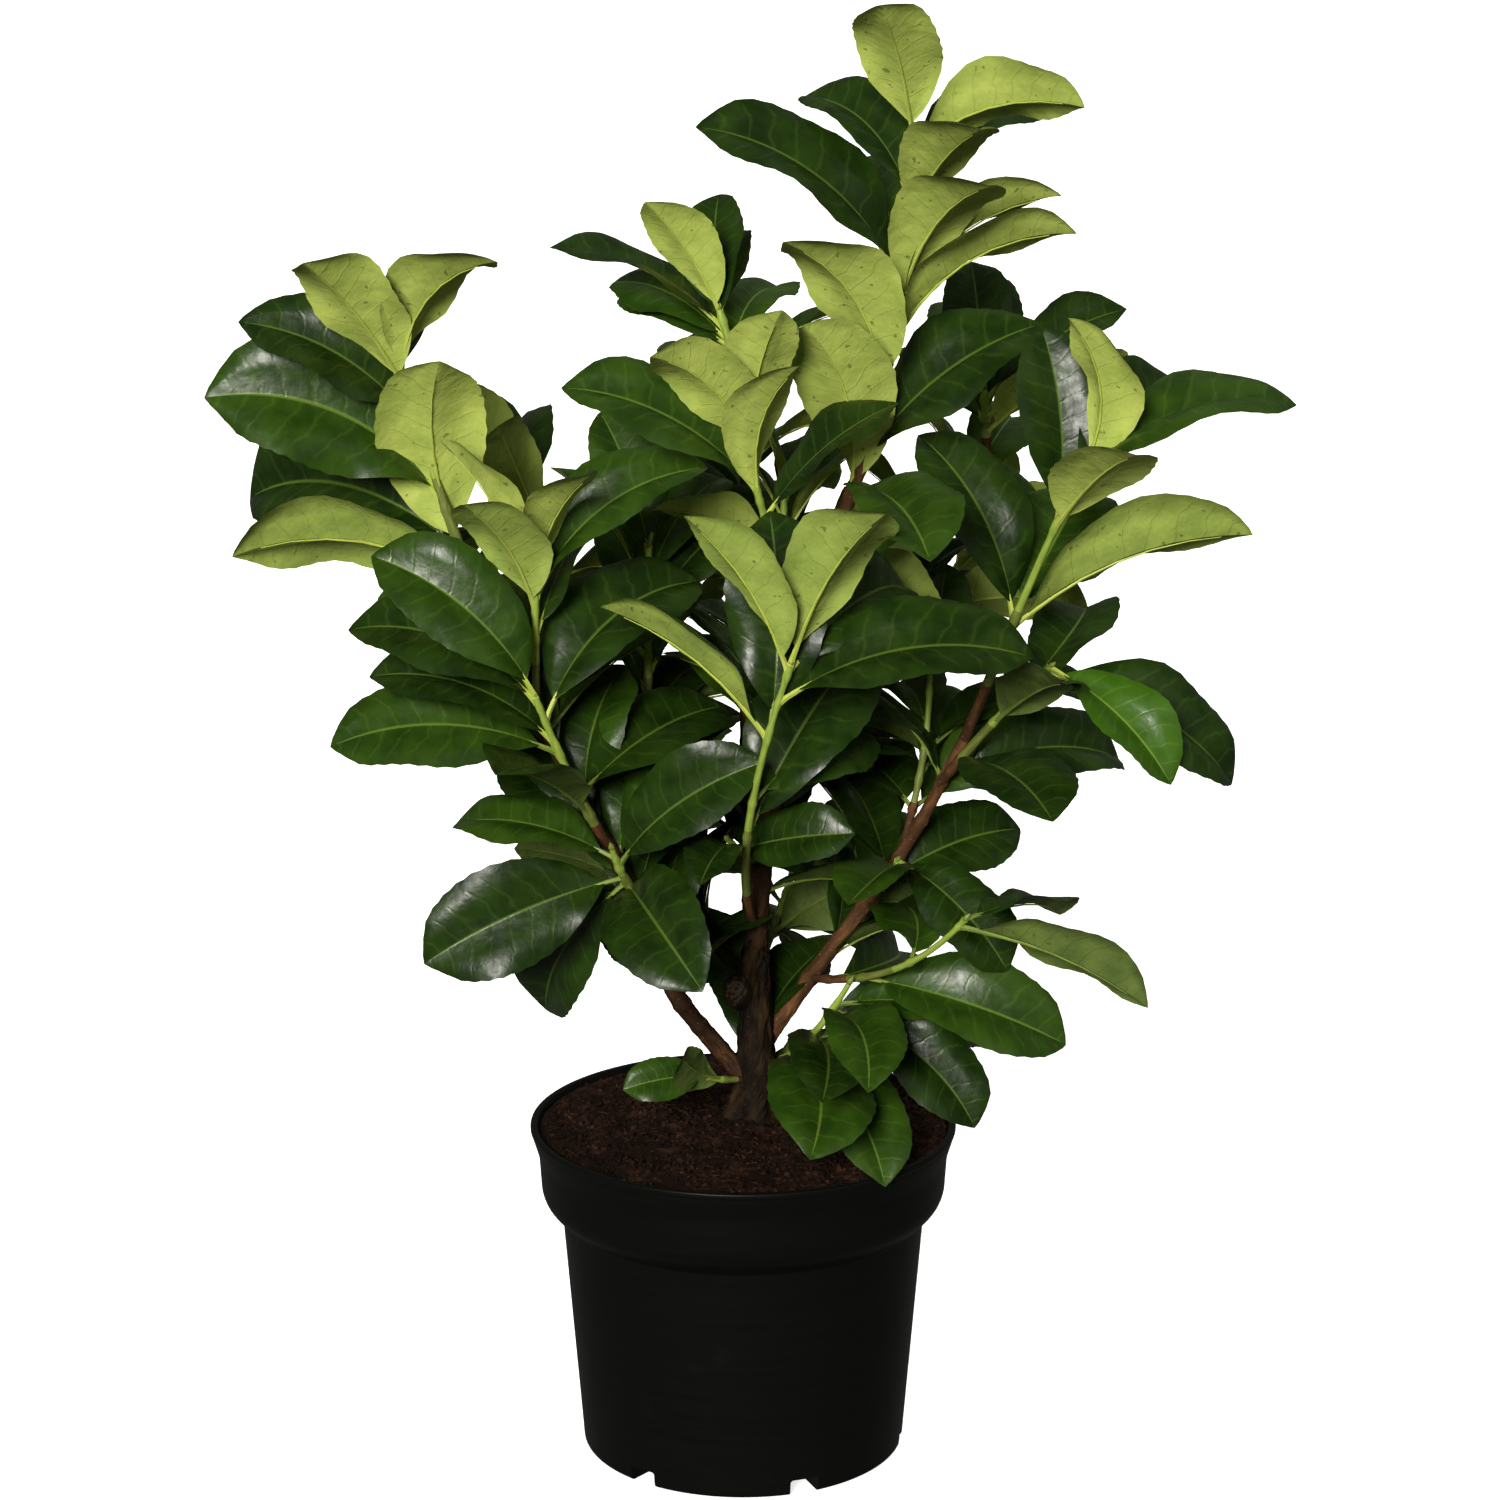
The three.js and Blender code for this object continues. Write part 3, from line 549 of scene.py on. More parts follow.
# %% [markdown]
# ### Crumbs and fibres
# A crumb is a small block with twenty faces, stretched and turned at random. A fibre is a thin bent
# tube with three sides. Both are made from arrays, as hundreds are needed, and the seed is fixed so
# that every run strews them alike.

# %% Tube helper
def tube(course, radii, sides, start_side=(0, 1, 0)):
    """Points, faces and surface places of a closed tube; radii may vary by ring and by side.
    The last point of each ring lies on the first, so the surface map has a seam there."""
    course = np.asarray(course, dtype=float)
    ahead = np.gradient(course, axis=0)
    ahead /= np.linalg.norm(ahead, axis=1, keepdims=True)
    travelled = np.concatenate([[0], np.cumsum(np.linalg.norm(np.diff(course, axis=0), axis=1))])
    turns = np.linspace(0, 2 * math.pi, sides + 1)
    side = np.array(start_side, dtype=float)
    points = []
    places = []
    for centre, tangent, radius, gone in zip(course, ahead, radii, travelled):
        side = side - tangent * (side @ tangent)
        side = side / np.linalg.norm(side)
        up = np.cross(tangent, side)
        ring = centre + np.outer(np.cos(turns) * radius, side) + np.outer(np.sin(turns) * radius, up)
        points.append(ring)
        girth = turns * np.mean(radius)
        places.append(np.stack([girth, np.full(sides + 1, gone)], axis=1))
    faces = []
    row = sides + 1
    for ring in range(len(course) - 1):
        for k in range(sides):
            first = ring * row + k
            faces.append((first, first + 1, first + row + 1, first + row))
    last = (len(course) - 1) * row
    faces.append(tuple(range(sides - 1, -1, -1)))
    faces.append(tuple(range(last, last + sides)))
    return np.concatenate(points), faces, np.concatenate(places)


print("tube helper is ready")

# %% Crumbs and fibres
GOLDEN = (1 + math.sqrt(5)) / 2
FOOT_CLEAR = 13
CRUMBS = 4800
CRUMB_LEAST = 0.4
CRUMB_SPREAD = 1.5
CRUMB_SHAPE = (1, 0.8, 0.62)
BROWN_CRUMBS = 0.35
FIBRES = 300
FIBRE_LEAST = 2
FIBRE_SPREAD = 9
FIBRE_FORM = np.array([0.5, 0.9, 1, 1, 0.8, 0.4])


def crumb_block():
    """Corners and faces of a block with twenty equal faces."""
    corners = []
    for a in (-1, 1):
        for b in (-GOLDEN, GOLDEN):
            corners += [(0, a, b), (a, b, 0), (b, 0, a)]
    corners = np.array(corners) / math.hypot(1, GOLDEN)
    edge = 2 / math.hypot(1, GOLDEN) + 0.01
    near = np.linalg.norm(corners[:, None] - corners[None], axis=2) < edge
    faces = []
    for i, j, k in combinations(range(len(corners)), 3):
        if near[i, j] and near[j, k] and near[i, k]:
            facing = np.cross(corners[j] - corners[i], corners[k] - corners[i])
            faces.append((i, j, k) if facing @ corners[i] > 0 else (i, k, j))
    return corners, faces


def strewn_place(chance, edge):
    """A random point on the mound, in millimetres, away from the stem's foot."""
    while True:
        reach = edge * math.sqrt(chance.random())
        heading = 2 * math.pi * chance.random()
        x = reach * math.cos(heading)
        y = reach * math.sin(heading)
        if math.hypot(x - STEM_FOOT[0], y - STEM_FOOT[1]) > FOOT_CLEAR:
            return x, y, float(soil_height(reach)) + soil_relief(x, y)


def strew_crumbs():
    """Crumbs of several sizes and two browns over the mound."""
    chance = np.random.default_rng(41)
    block, faces = crumb_block()
    strewn = Patchwork()
    for _ in range(CRUMBS):
        size = CRUMB_LEAST + CRUMB_SPREAD * chance.random() ** 2.6
        x, y, z = strewn_place(chance, SOIL_EDGE - size)
        turn = np.linalg.qr(chance.normal(size=(3, 3)))[0]
        turn *= np.sign(np.linalg.det(turn))
        shape = block * (1 + 0.28 * chance.normal(size=(12, 1))) * size * CRUMB_SHAPE
        tone = int(chance.random() < BROWN_CRUMBS)
        strewn.add((shape @ turn + (x, y, z + 0.2 * size)) * MM, faces, [tone] * len(faces))
    return strewn.make("peat_crumbs", [PEAT_DARK, PEAT_BROWN])


def strew_fibres():
    """Thin bent fibres that lie on the mound."""
    chance = np.random.default_rng(42)
    strewn = Patchwork()
    for _ in range(FIBRES):
        length = FIBRE_LEAST + FIBRE_SPREAD * chance.random() ** 1.7
        x, y, z = strewn_place(chance, SOIL_EDGE - length / 2 - 1)
        heading = 2 * math.pi * chance.random()
        bend = chance.normal() * 1.1
        shares = np.linspace(-0.5, 0.5, len(FIBRE_FORM))
        angles = heading + bend * shares
        steps = np.stack([np.cos(angles), np.sin(angles)], axis=1) * length / 5
        flat = np.cumsum(steps, axis=0) - steps.sum(axis=0) / 2 + (x, y)
        rise = z + 0.7 + 0.9 * chance.random() - 3.2 * shares ** 2
        course = np.column_stack([flat, rise]) * MM
        thick = (0.15 + 0.2 * chance.random()) * MM
        points, faces, _ = tube(course, thick * FIBRE_FORM, 3, (0, 0, 1))
        strewn.add(points, faces, [0] * len(faces))
    return strewn.make("peat_fibres", [PEAT_RED])


crumbs = settle(strew_crumbs(), (), 20)
fibres = settle(strew_fibres(), (), 60)
print("crumbs:", len(crumbs.data.polygons), "faces; fibres:", len(fibres.data.polygons), "faces")

# %% [markdown]
# ## Trunk and boughs
# The trunk rises from a lobed root flare with a slight lean to its fork, and six boughs leave it. The
# old bark is nearly black, and the younger boughs are a smooth reddish brown with small pale pores and
# raised leaf scars. Each limb follows the same course as its solid, with many more rings and sides, so
# that ridges and scars are real relief that shows in the outline.

# %% Limb courses
# Course of each limb and the radius at its two ends, in millimetres.
LIMBS = {
    "trunk": ([(7, 4, 184.3), (7, 3, 214), (6, 0, 268)], (10.8, 8.2)),
    "leader_bough": ([(6, 0, 268.3), (8, 1, 300), (13, 5, 346), (28, 10, 411), (52, 0, 515)], (6.2, 3.4)),
    "left_bough": ([(7, 3, 198), (-14, 0, 224), (-38, -10, 260), (-57, -20, 315), (-83, -25, 365),
                    (-114, -20, 426), (-140, -12, 478)], (5.2, 2.9)),
    "right_bough": ([(7, 3, 220), (36, 14, 258), (63, 20, 294), (90, 19, 335), (117, 5, 393)], (4.8, 3)),
    "back_bough": ([(6, 1, 238), (4, 40, 285), (2, 85, 380), (2, 112, 470), (1, 120, 542)], (4.8, 2.8)),
    "back_left_bough": ([(6, 1, 252), (-22, 22, 290), (-62, 60, 360), (-88, 92, 430)], (4.4, 2.6)),
    "back_right_bough": ([(13, 5, 346), (45, 40, 400), (95, 75, 470), (131, 90, 532)], (3.6, 2.4)),
}


def limb_course(stations, share):
    """A smooth course through the stations, read at shares from 0 to 1 of its spans."""
    stations = np.array(stations, dtype=float)
    spans = len(stations) - 1
    padded = np.vstack([2 * stations[0] - stations[1], stations, 2 * stations[-1] - stations[-2]])
    points = []
    for value in np.atleast_1d(share) * spans:
        span = min(int(value), spans - 1)
        before, start, end, after = padded[span:span + 4]
        pull = [math.sqrt(np.linalg.norm(b - a)) for a, b in ((before, start), (start, end), (end, after))]
        leave = (start - before) / pull[0] - (end - before) / (pull[0] + pull[1]) + (end - start) / pull[1]
        reach = (end - start) / pull[1] - (after - start) / (pull[1] + pull[2]) + (after - end) / pull[2]
        leave = leave * pull[1]
        reach = reach * pull[1]
        w = value - span
        bend = -3 * start + 3 * end - 2 * leave - reach
        twist = 2 * start - 2 * end + leave + reach
        points.append(start + leave * w + bend * w ** 2 + twist * w ** 3)
    return np.array(points)


def limb_end(name):
    """The last point of a limb and the direction in which it ends."""
    stations = LIMBS[name][0]
    nearly, end = limb_course(stations, [0.9999, 1.0])
    return end, (end - nearly) / np.linalg.norm(end - nearly)


print("limbs:", ", ".join(LIMBS))

# %% Bark relief
TRUNK_SIDES = 56
BOUGH_SIDES = 20
RING_PITCH = 1.5
FLARE_HEIGHT = 14
FLARE_RADIUS = 17
FLARE_LOBES = 5
LOBE_DEPTH = 0.16
RIDGE_DEPTH = 1.2
COLLAR = 0.4
COLLAR_REACH = 11
FIRST_SCAR = 30.0
SCAR_PITCH = 24
SCAR_RISE = 0.35
SCAR_REACH = 2.1
UNEVEN_SHARE = 0.06
RIPPLE_SHARE = 0.05
LEADER_OVERLAP = 0.14
OVERLAP_RINGS = 18
INSIDE_LEADER = 5.5
BARK_TONES = {"trunk": 0, "right_bough": 2}


def bark_ridges(points, fineness, stretch_along):
    """Noise at each point, stretched along Z so that ridges run up the limb."""
    squeeze = np.array([fineness, fineness, fineness / stretch_along])
    return np.array([noise.fractal(Vector(place), 0.8, 2.2, 4) for place in points * squeeze])


def trunk_radii(course, sides):
    """Radii of the trunk: taper, lobed root flare and rough ridges."""
    turns = np.linspace(0, 2 * math.pi, sides + 1)
    up = (course[:, 2] - course[0, 2])[:, None]
    flare = np.exp(-up / FLARE_HEIGHT)
    lobes = 1 - LOBE_DEPTH * flare * np.cos(FLARE_LOBES * turns)
    stations, (foot, fork) = LIMBS["trunk"]
    heights = [0, stations[-1][2] - stations[0][2], up.max()]
    straight = np.interp(up, heights, [foot, fork, INSIDE_LEADER])
    base = (straight + (FLARE_RADIUS - foot) * flare) * lobes
    ring = np.stack([np.cos(turns), np.sin(turns), 0 * turns], axis=1)
    spots = (course[:, None, :] + ring[None] * base[..., None]).reshape(-1, 3)
    ridges = bark_ridges(spots, 0.3, 3.5) + 0.6 * bark_ridges(spots, 0.8, 1.6)
    ridges = ridges.reshape(base.shape)
    ridges[:, -1] = ridges[:, 0]
    return base + RIDGE_DEPTH * ridges


def bough_radii(course, ends, collar, seed):
    """Radii of a bough: taper, a collar where it leaves its limb, leaf scars and uneven growth."""
    gone = np.concatenate([[0], np.cumsum(np.linalg.norm(np.diff(course, axis=0), axis=1))])
    radii = ends[0] + (ends[1] - ends[0]) * gone / gone[-1]
    radii = radii * (1 + collar * np.exp(-gone / COLLAR_REACH))
    chance = np.random.default_rng(seed)
    scar = FIRST_SCAR
    while scar < gone[-1] - 8:
        rise = SCAR_RISE * (1 + chance.random())
        radii = radii + rise * np.exp(-((gone - scar) / SCAR_REACH) ** 2)
        scar += SCAR_PITCH * (0.6 + 0.8 * chance.random())
    uneven = np.array([noise.noise(Vector((value / 9, seed, 0.5))) for value in gone])
    return radii * (1 + UNEVEN_SHARE * uneven)


def grow_limbs():
    """All limbs in one mesh, with the surface map that the bark finish reads."""
    grown = Patchwork("bark")
    for number, (name, (stations, ends)) in enumerate(LIMBS.items()):
        rough_length = np.linalg.norm(np.diff(np.array(stations, dtype=float), axis=0), axis=1).sum()
        course = limb_course(stations, np.linspace(0, 1, int(rough_length / RING_PITCH)))
        if name == "trunk":
            shares = np.linspace(0, LEADER_OVERLAP, OVERLAP_RINGS)[1:]
            leader = limb_course(LIMBS["leader_bough"][0], shares)
            course = np.vstack([course, leader])
            radii = trunk_radii(course, TRUNK_SIDES)
            points, faces, places = tube(course, radii, TRUNK_SIDES)
        else:
            radii = bough_radii(course, ends, 0 if name == "leader_bough" else COLLAR, number)
            points, faces, places = tube(course, radii, BOUGH_SIDES)
            ripple = bark_ridges(points, 0.55, 1.5)[:, None]
            middle = np.repeat(course, BOUGH_SIDES + 1, axis=0)
            points = middle + (points - middle) * (1 + RIPPLE_SHARE * ripple)
            points[BOUGH_SIDES::BOUGH_SIDES + 1] = points[::BOUGH_SIDES + 1]
        tone = BARK_TONES.get(name, 1)
        grown.add(points * MM, faces, [tone] * len(faces), bark=places * MM)
    return grown


limb_work = grow_limbs()
print("limbs:", len(limb_work.faces), "faces")

# %% [markdown]
# ### Bark finishes
# Old bark has dark plates with brown showing between them; the boughs are a plainer brown, and the one
# that leans out to the right into the light is smooth and red, dotted with pale pores. One function
# makes all three. They read the limb's own surface map, so the pattern runs along each limb whichever
# way it leans.

# %% Bark finishes
def bark(name, dark, light, pore, pore_share, depth):
    """Bark with streaks along the limb and pale pores across it."""
    finish, tree, shader = start_finish(name, 0.8, Specular_IOR_Level=0.12)
    streaks = blotches(tree, map_place(tree, "bark", (260, 60, 1)), 1.0, 5.0, 0.3, 0.7)
    patches = blotches(tree, map_place(tree, "bark", (60, 26, 1)), 1.0, 3.0, 0.35, 0.65)
    pores = blotches(tree, map_place(tree, "bark", (420, 900, 1)), 1.0, 1.0, 0.66, 0.72, 0, pore_share)
    body = mix_colours(tree, reckon(tree, "MULTIPLY", streaks, patches), dark, light)
    feed(tree, shader, "Base Color", mix_colours(tree, pores, body, pore))
    feed(tree, shader, "Roughness", stretch(tree, streaks, 0, 1, 0.62, 0.88))
    roughen(tree, shader, reckon(tree, "ADD", streaks, pores), depth * MM, 0.8)
    return finish


OLD_BARK = bark("old_bark", (0.005, 0.003, 0.0016), (0.042, 0.023, 0.008), (0.055, 0.035, 0.018), 0.5, 1.2)
BROWN_BARK = bark("brown_bark", (0.02, 0.009, 0.004), (0.085, 0.04, 0.016), (0.15, 0.09, 0.045), 0.6, 0.5)
YOUNG_BARK = bark("young_bark", (0.046, 0.02, 0.008), (0.22, 0.1, 0.036), (0.31, 0.19, 0.095), 0.6, 0.35)
limb_piece = limb_work.make("bark_limbs", [OLD_BARK, BROWN_BARK, YOUNG_BARK])
settle(limb_piece, list(LIMBS), 60)
print("bark limbs finished:", len(limb_piece.data.polygons), "faces")

# %% [markdown]
# ### The healed knob
# Where an old shoot was cut off, the bark has closed into a swollen knob with a scar in the middle. It
# could be sculpted on the trunk, but a piece of its own is easier to place. A sphere with many faces is
# squeezed and roughened; then the faces that look to the front are inset and pushed in for the scar.

# %% Knob
KNOB_PLACE = (-0.002, -0.004, 0.256)
KNOB_RADIUS = 0.0095
KNOB_SHAPE = Vector((1, 0.85, 1.15))
KNOB_ROUGHNESS = 0.09
SCAR_FACING = Vector((-0.25, -0.9, 0.35)).normalized()
SCAR_SPREAD = 0.9
PALE_SCAR = bark("pale_scar", (0.03, 0.02, 0.012), (0.09, 0.06, 0.038), (0.13, 0.095, 0.065), 0.4, 0.3)


def make_knob():
    """A rough swelling with a sunken pale scar."""
    bpy.ops.object.select_all(action="DESELECT")
    bpy.ops.mesh.primitive_ico_sphere_add(subdivisions=4, radius=KNOB_RADIUS, location=(0, 0, 0))
    knob = bpy.context.object
    knob.name = "healed_knob"
    for point in knob.data.vertices:
        rough = noise.fractal(point.co * 420, 0.8, 2.1, 3)
        point.co = point.co * KNOB_SHAPE * (1 + KNOB_ROUGHNESS * rough)
    for face in knob.data.polygons:
        face.select = face.normal.dot(SCAR_FACING) > SCAR_SPREAD
    for finish in (OLD_BARK, PALE_SCAR):
        knob.data.materials.append(finish)
    for face in knob.data.polygons:
        face.material_index = int(face.select)
    bpy.ops.object.mode_set(mode="EDIT")
    bpy.ops.mesh.select_mode(type="FACE")
    bpy.ops.mesh.inset(thickness=0.5 * MM, depth=-0.6 * MM)
    bpy.ops.object.mode_set(mode="OBJECT")
    knob.location = KNOB_PLACE
    layer = knob.data.uv_layers.active
    layer.name = "bark"
    for corner in layer.data:
        corner.uv = corner.uv * 0.05
    return knob


knob = settle(make_knob(), (), 60)
print("knob:", len(knob.data.polygons), "faces")

# %% [markdown]
# ## Leafy shoots
# Cherry laurel bears its leaves one by one round each shoot. A leaf stands off its stem at an angle,
# arches back along its length, folds a little along the midrib, and rolls to face the light. The
# solids were grown by that rule from the rows below, so the same rows and the same seeded numbers are
# used again here, and each fine leaf lies where its plain solid lies.

# %% Shoot rows
# A shoot leaves its limb at a root, or at the limb's end where no root is given, and runs by a bend to
# a tip. A leaf row holds the place along the stem and the pixel of the photo, across and down, where
# the leaf's tip is; a fourth number is more roll in degrees. Near leaves lean to the viewer and show
# their under side, over leaves hang to the front and show their upper side, and away leaves lean back.
# The leaves that the photo doesn't show are a count over a fan of headings.
SHOOTS = [
    dict(name="top_shoot", on="leader_bough", bend=(85, -16, 600), tip=(86, -15, 716), stout=3.3,
         size=118,
         near=[(0.98, 880, 5), (0.95, 1085, 108, -20), (0.8, 982, 130), (0.6, 992, 187),
               (0.48, 1077, 234, -20), (0.36, 783, 242), (0.05, 803, 325, 20), (0.57, 1062, 196)],
         over=[(0.08, 930, 562)],
         away=[(0.84, 802, 98), (0.92, 1044, 112), (0.68, 845, 163), (0.64, 695, 127),
               (0.14, 1041, 324)]),
    dict(name="left_top_shoot", on="left_bough", bend=(-158, -14, 535), tip=(-178, -18, 601), stout=2.9,
         size=122,
         near=[(0.86, 303, 263), (0.92, 497, 262), (0.15, 440, 361), (0, 232, 557, 20)],
         away=[(0.36, 204, 398, 5), (0.68, 238, 322, -15), (0.15, 250, 498, -35), (0.9, 402, 295)]),
    dict(name="front_shoot", on="leader_bough", root=(7, 0, 290), bend=(-10, -74, 349),
         tip=(24, -92, 456), stout=2.4, size=126,
         near=[(0.98, 684, 516), (1, 886, 514), (0.8, 600, 607)],
         away=[(0.9, 1034, 658), (0.97, 905, 588), (0.6, 858, 728)],
         count=2, middle=110, fan=90),
    dict(name="left_front_shoot", on="left_bough", root=(-70, -23, 341), bend=(-86, -50, 375),
         tip=(-106, -62, 432), stout=2.9, size=122,
         over=[(0.3, 495, 775)],
         away=[(1, 371, 556, -20), (0.75, 369, 677), (0.7, 330, 747, -10), (0.88, 700, 582),
               (0.44, 725, 706), (0.95, 348, 630)]),
    dict(name="right_shoot", on="right_bough", bend=(142, -26, 470), tip=(170, -54, 546), stout=2.7,
         size=120,
         near=[(0.8, 1137, 455), (1, 1068, 318), (0.42, 1253, 535, -20)],
         away=[(0.45, 918, 435), (0.97, 1297, 405, -20), (0.95, 1168, 375)],
         count=2, middle=110, fan=90),
    dict(name="left_inner_shoot", on="left_bough", root=(-108, -21, 414), bend=(-106, -50, 436),
         tip=(-106, -54, 498), stout=2.1, size=104,
         near=[(0.9, 440, 440), (0.95, 592, 475), (0.8, 462, 505), (0.3, 505, 612)],
         away=[(0.85, 708, 468)],
         count=1, middle=90, fan=60),
    dict(name="upper_front_shoot", on="leader_bough", root=(42, 5, 470), bend=(10, -44, 500),
         tip=(4, -48, 558), stout=2.2, size=106,
         near=[(0.97, 782, 310), (0.75, 800, 366, 30), (0.9, 650, 357)],
         away=[(0.8, 561, 388)],
         count=1, middle=90, fan=120),
    dict(name="left_low_shoot", on="left_bough", root=(-57, -20, 315), bend=(-64, -38, 331),
         tip=(-68, -46, 347), stout=2.4, size=112,
         over=[(0.4, 424, 964, -35), (0.2, 703, 992, 20), (0.95, 606, 757)],
         away=[(0.3, 546, 1010, -25), (0.8, 455, 825, 15), (0.6, 728, 728)],
         count=1, middle=80, fan=120),
    dict(name="right_low_shoot", on="right_bough", root=(104, 12, 366), bend=(130, -20, 410),
         tip=(158, -45, 444), stout=2.5, size=112, fresh=(1171, 785),
         near=[(0.5, 1066, 684)],
         over=[(1, 1171, 785), (0.2, 1053, 822)],
         away=[(0.95, 1232, 784), (0.12, 1119, 760), (0.75, 1085, 608, -25)]),
    dict(name="low_right_shoot", on="right_bough", root=(36, 14, 258), bend=(84, -62, 276),
         tip=(114, -80, 319), stout=2, size=110,
         near=[(0.95, 1148, 1008, -25)],
         over=[(0.3, 1066, 1045)],
         away=[(1, 1060, 915, -40), (0.6, 892, 905), (0.1, 895, 950)]),
    dict(name="foot_right_shoot", on="trunk", root=(7, 3, 208), bend=(34, -18, 224), tip=(56, -28, 268),
         stout=2.4, size=112,
         over=[(0.85, 1000, 1021), (0.75, 868, 1093), (0.55, 822, 1103), (0.4, 885, 1187),
               (0.27, 810, 1160), (0.8, 975, 1128, 35)],
         count=2, middle=80, fan=90),
    dict(name="low_front_shoot", on="leader_bough", root=(10, 3, 326), bend=(0, -22, 336),
         tip=(-8, -44, 352), stout=1.8, size=74,
         over=[(0.85, 700, 886)],
         away=[(0.6, 815, 850)],
         count=1, middle=90, fan=200),
    dict(name="back_top_shoot", on="back_bough", bend=(-3, 120, 574), tip=(-13, 120, 604), stout=2.6,
         size=98,
         near=[(0.95, 645, 202)],
         away=[(0.8, 549, 248), (0.7, 614, 282), (0.9, 730, 230), (0.6, 783, 290), (0.1, 678, 342)],
         count=3, middle=100, fan=160),
    dict(name="back_right_shoot", on="back_right_bough", bend=(130, 90, 549), tip=(130, 90, 566),
         stout=2.2, size=104,
         near=[(0.25, 1128, 357)],
         away=[(0.5, 985, 276), (0.8, 1127, 309), (0.9, 948, 303), (0.3, 925, 352)],
         count=2, middle=80, fan=120),
    dict(name="right_inner_shoot", on="right_bough", root=(85, 19, 328), bend=(101, 24, 385),
         tip=(99, 26, 430), stout=1.7, size=98,
         near=[(0.95, 875, 548)],
         away=[(0.2, 828, 748), (0.6, 890, 690), (0.35, 985, 705), (0.2, 1003, 800)],
         count=2, middle=80, fan=200),
    dict(name="foot_left_shoot", on="trunk", root=(6, 3, 205), bend=(-14, -14, 208), tip=(-24, -24, 216),
         stout=1.6, size=56,
         near=[(0.45, 683, 1058)],
         over=[(0.8, 623, 1090)]),
    dict(name="arch_shoot", on="right_bough", root=(76, 20, 312), bend=(79, 4, 318), tip=(82, -8, 330),
         stout=1.6, size=100,
         near=[(0.8, 848, 905)],
         over=[(1, 1008, 972)]),
    dict(name="inner_left_shoot", on="back_left_bough", root=(-50, 48, 337), bend=(-52, 44, 420),
         tip=(-50, 40, 490), stout=2.4, size=104,
         away=[(0.95, 600, 412), (1, 690, 420), (0.85, 722, 478), (0.3, 700, 665)],
         count=9, middle=110, fan=200),
    dict(name="back_left_shoot", on="back_left_bough", bend=(-108, 118, 470), tip=(-122, 134, 512),
         stout=2.4, size=106, count=8, middle=190, fan=230),
    dict(name="rear_shoot", on="back_bough", root=(3, 72, 350), bend=(4, 130, 380), tip=(4, 168, 432),
         stout=2.4, size=106, count=10, middle=90, fan=280),
    dict(name="rear_right_shoot", on="back_right_bough", root=(56, 48, 416), bend=(104, 118, 430),
         tip=(130, 156, 474), stout=2.4, size=96, count=9, middle=50, fan=320),
    dict(name="rear_low_shoot", on="back_bough", root=(5, 20, 258), bend=(20, 80, 270),
         tip=(30, 110, 300), stout=2.2, size=94,
         away=[(0.3, 838, 935), (0.4, 812, 985)],
         count=8, middle=70, fan=240),
    dict(name="upper_inner_shoot", on="leader_bough", root=(32, 9, 430), bend=(20, 40, 470),
         tip=(22, 52, 520), stout=2.2, size=84, count=9, middle=90, fan=250),
    dict(name="rear_left_shoot", on="back_left_bough", root=(-55, 53, 348), bend=(-72, 112, 366),
         tip=(-84, 150, 400), stout=2.2, size=98, count=8, middle=80, fan=290),
    dict(name="mid_left_shoot", on="left_bough", root=(-88, -25, 374), bend=(-80, 14, 392),
         tip=(-84, 34, 430), stout=2, size=94, count=6, middle=145, fan=200),
    dict(name="low_inner_shoot", on="right_bough", root=(50, 18, 276), bend=(52, 48, 292),
         tip=(66, 66, 326), stout=1.9, size=94, count=4, middle=120, fan=200),
    dict(name="low_left_shoot", on="left_bough", root=(-44, -13, 277), bend=(-40, 26, 290),
         tip=(-50, 44, 322), stout=1.9, size=90,
         away=[(0.7, 728, 842)],
         count=5, middle=180, fan=200),
]
# What a crowded leaf may have done: a share of its length and more roll, or a turn round its stem and
# away from it.
SHOWN_TRIES = [
    (1, 0), (1, 20), (1, -20), (1.1, 0), (0.92, 0), (1.1, 20), (1.1, -20), (1, 40), (1, -40),
    (1.22, 0), (1.22, 20), (1.22, -20), (0.84, 0), (1.35, 0),
]
HIDDEN_TRIES = [
    (0, 0), (12, 0), (-12, 0), (0, 12), (0, -12), (20, 10), (-20, 10), (20, -10), (-20, -10),
    (32, 0), (-32, 0), (0, 26), (0, -26),
]
print("shoots:", len(SHOOTS))

# %% Growth rule
GAP = 0.3
SPIRAL_SHARE = 0.618
SPIRAL_BARE = 0.3
TIP_SHORTENING = 0.2
SHOWN_SLOPE = (0.6, 0.8)
SHOWN_ROLL = 0.7
ROLL_LIMIT = math.radians(45)
PHOTO_SIDE = 1500
DRAW_FACTOR = 16807
DRAW_RANGE = 2147483647
SHOOT_SEED = 1000
SEED_STEP = 77


def seeded_draw(seed):
    """Numbers between 0 and 1, the same on every run."""
    state = seed

    def draw():
        nonlocal state
        state = (state * DRAW_FACTOR) % DRAW_RANGE
        return state / DRAW_RANGE

    return draw


def scatter(spread, draw):
    """A number between minus half and half of a spread."""
    return spread * (draw() - 0.5)


def unit(arrow):
    """The same direction with a length of 1."""
    return arrow / np.linalg.norm(arrow)


def shoot_stem(shoot):
    """Start, bend and tip of a shoot's stem, in millimetres."""
    bend = np.array(shoot["bend"], dtype=float)
    tip = np.array(shoot["tip"], dtype=float)
    if "root" in shoot:
        return np.array(shoot["root"], dtype=float), bend, tip
    end, ahead = limb_end(shoot["on"])
    lean = math.acos(min(1, float(unit(bend - end) @ ahead)))
    return end + ahead * (GAP + shoot["stout"] * math.sin(lean)), bend, tip


def stem_point(stem, share):
    """Points of a stem at shares of its course."""
    start, bend, tip = stem
    share = np.asarray(share, dtype=float)[..., None]
    return (1 - share) ** 2 * start + 2 * (1 - share) * share * bend + share ** 2 * tip


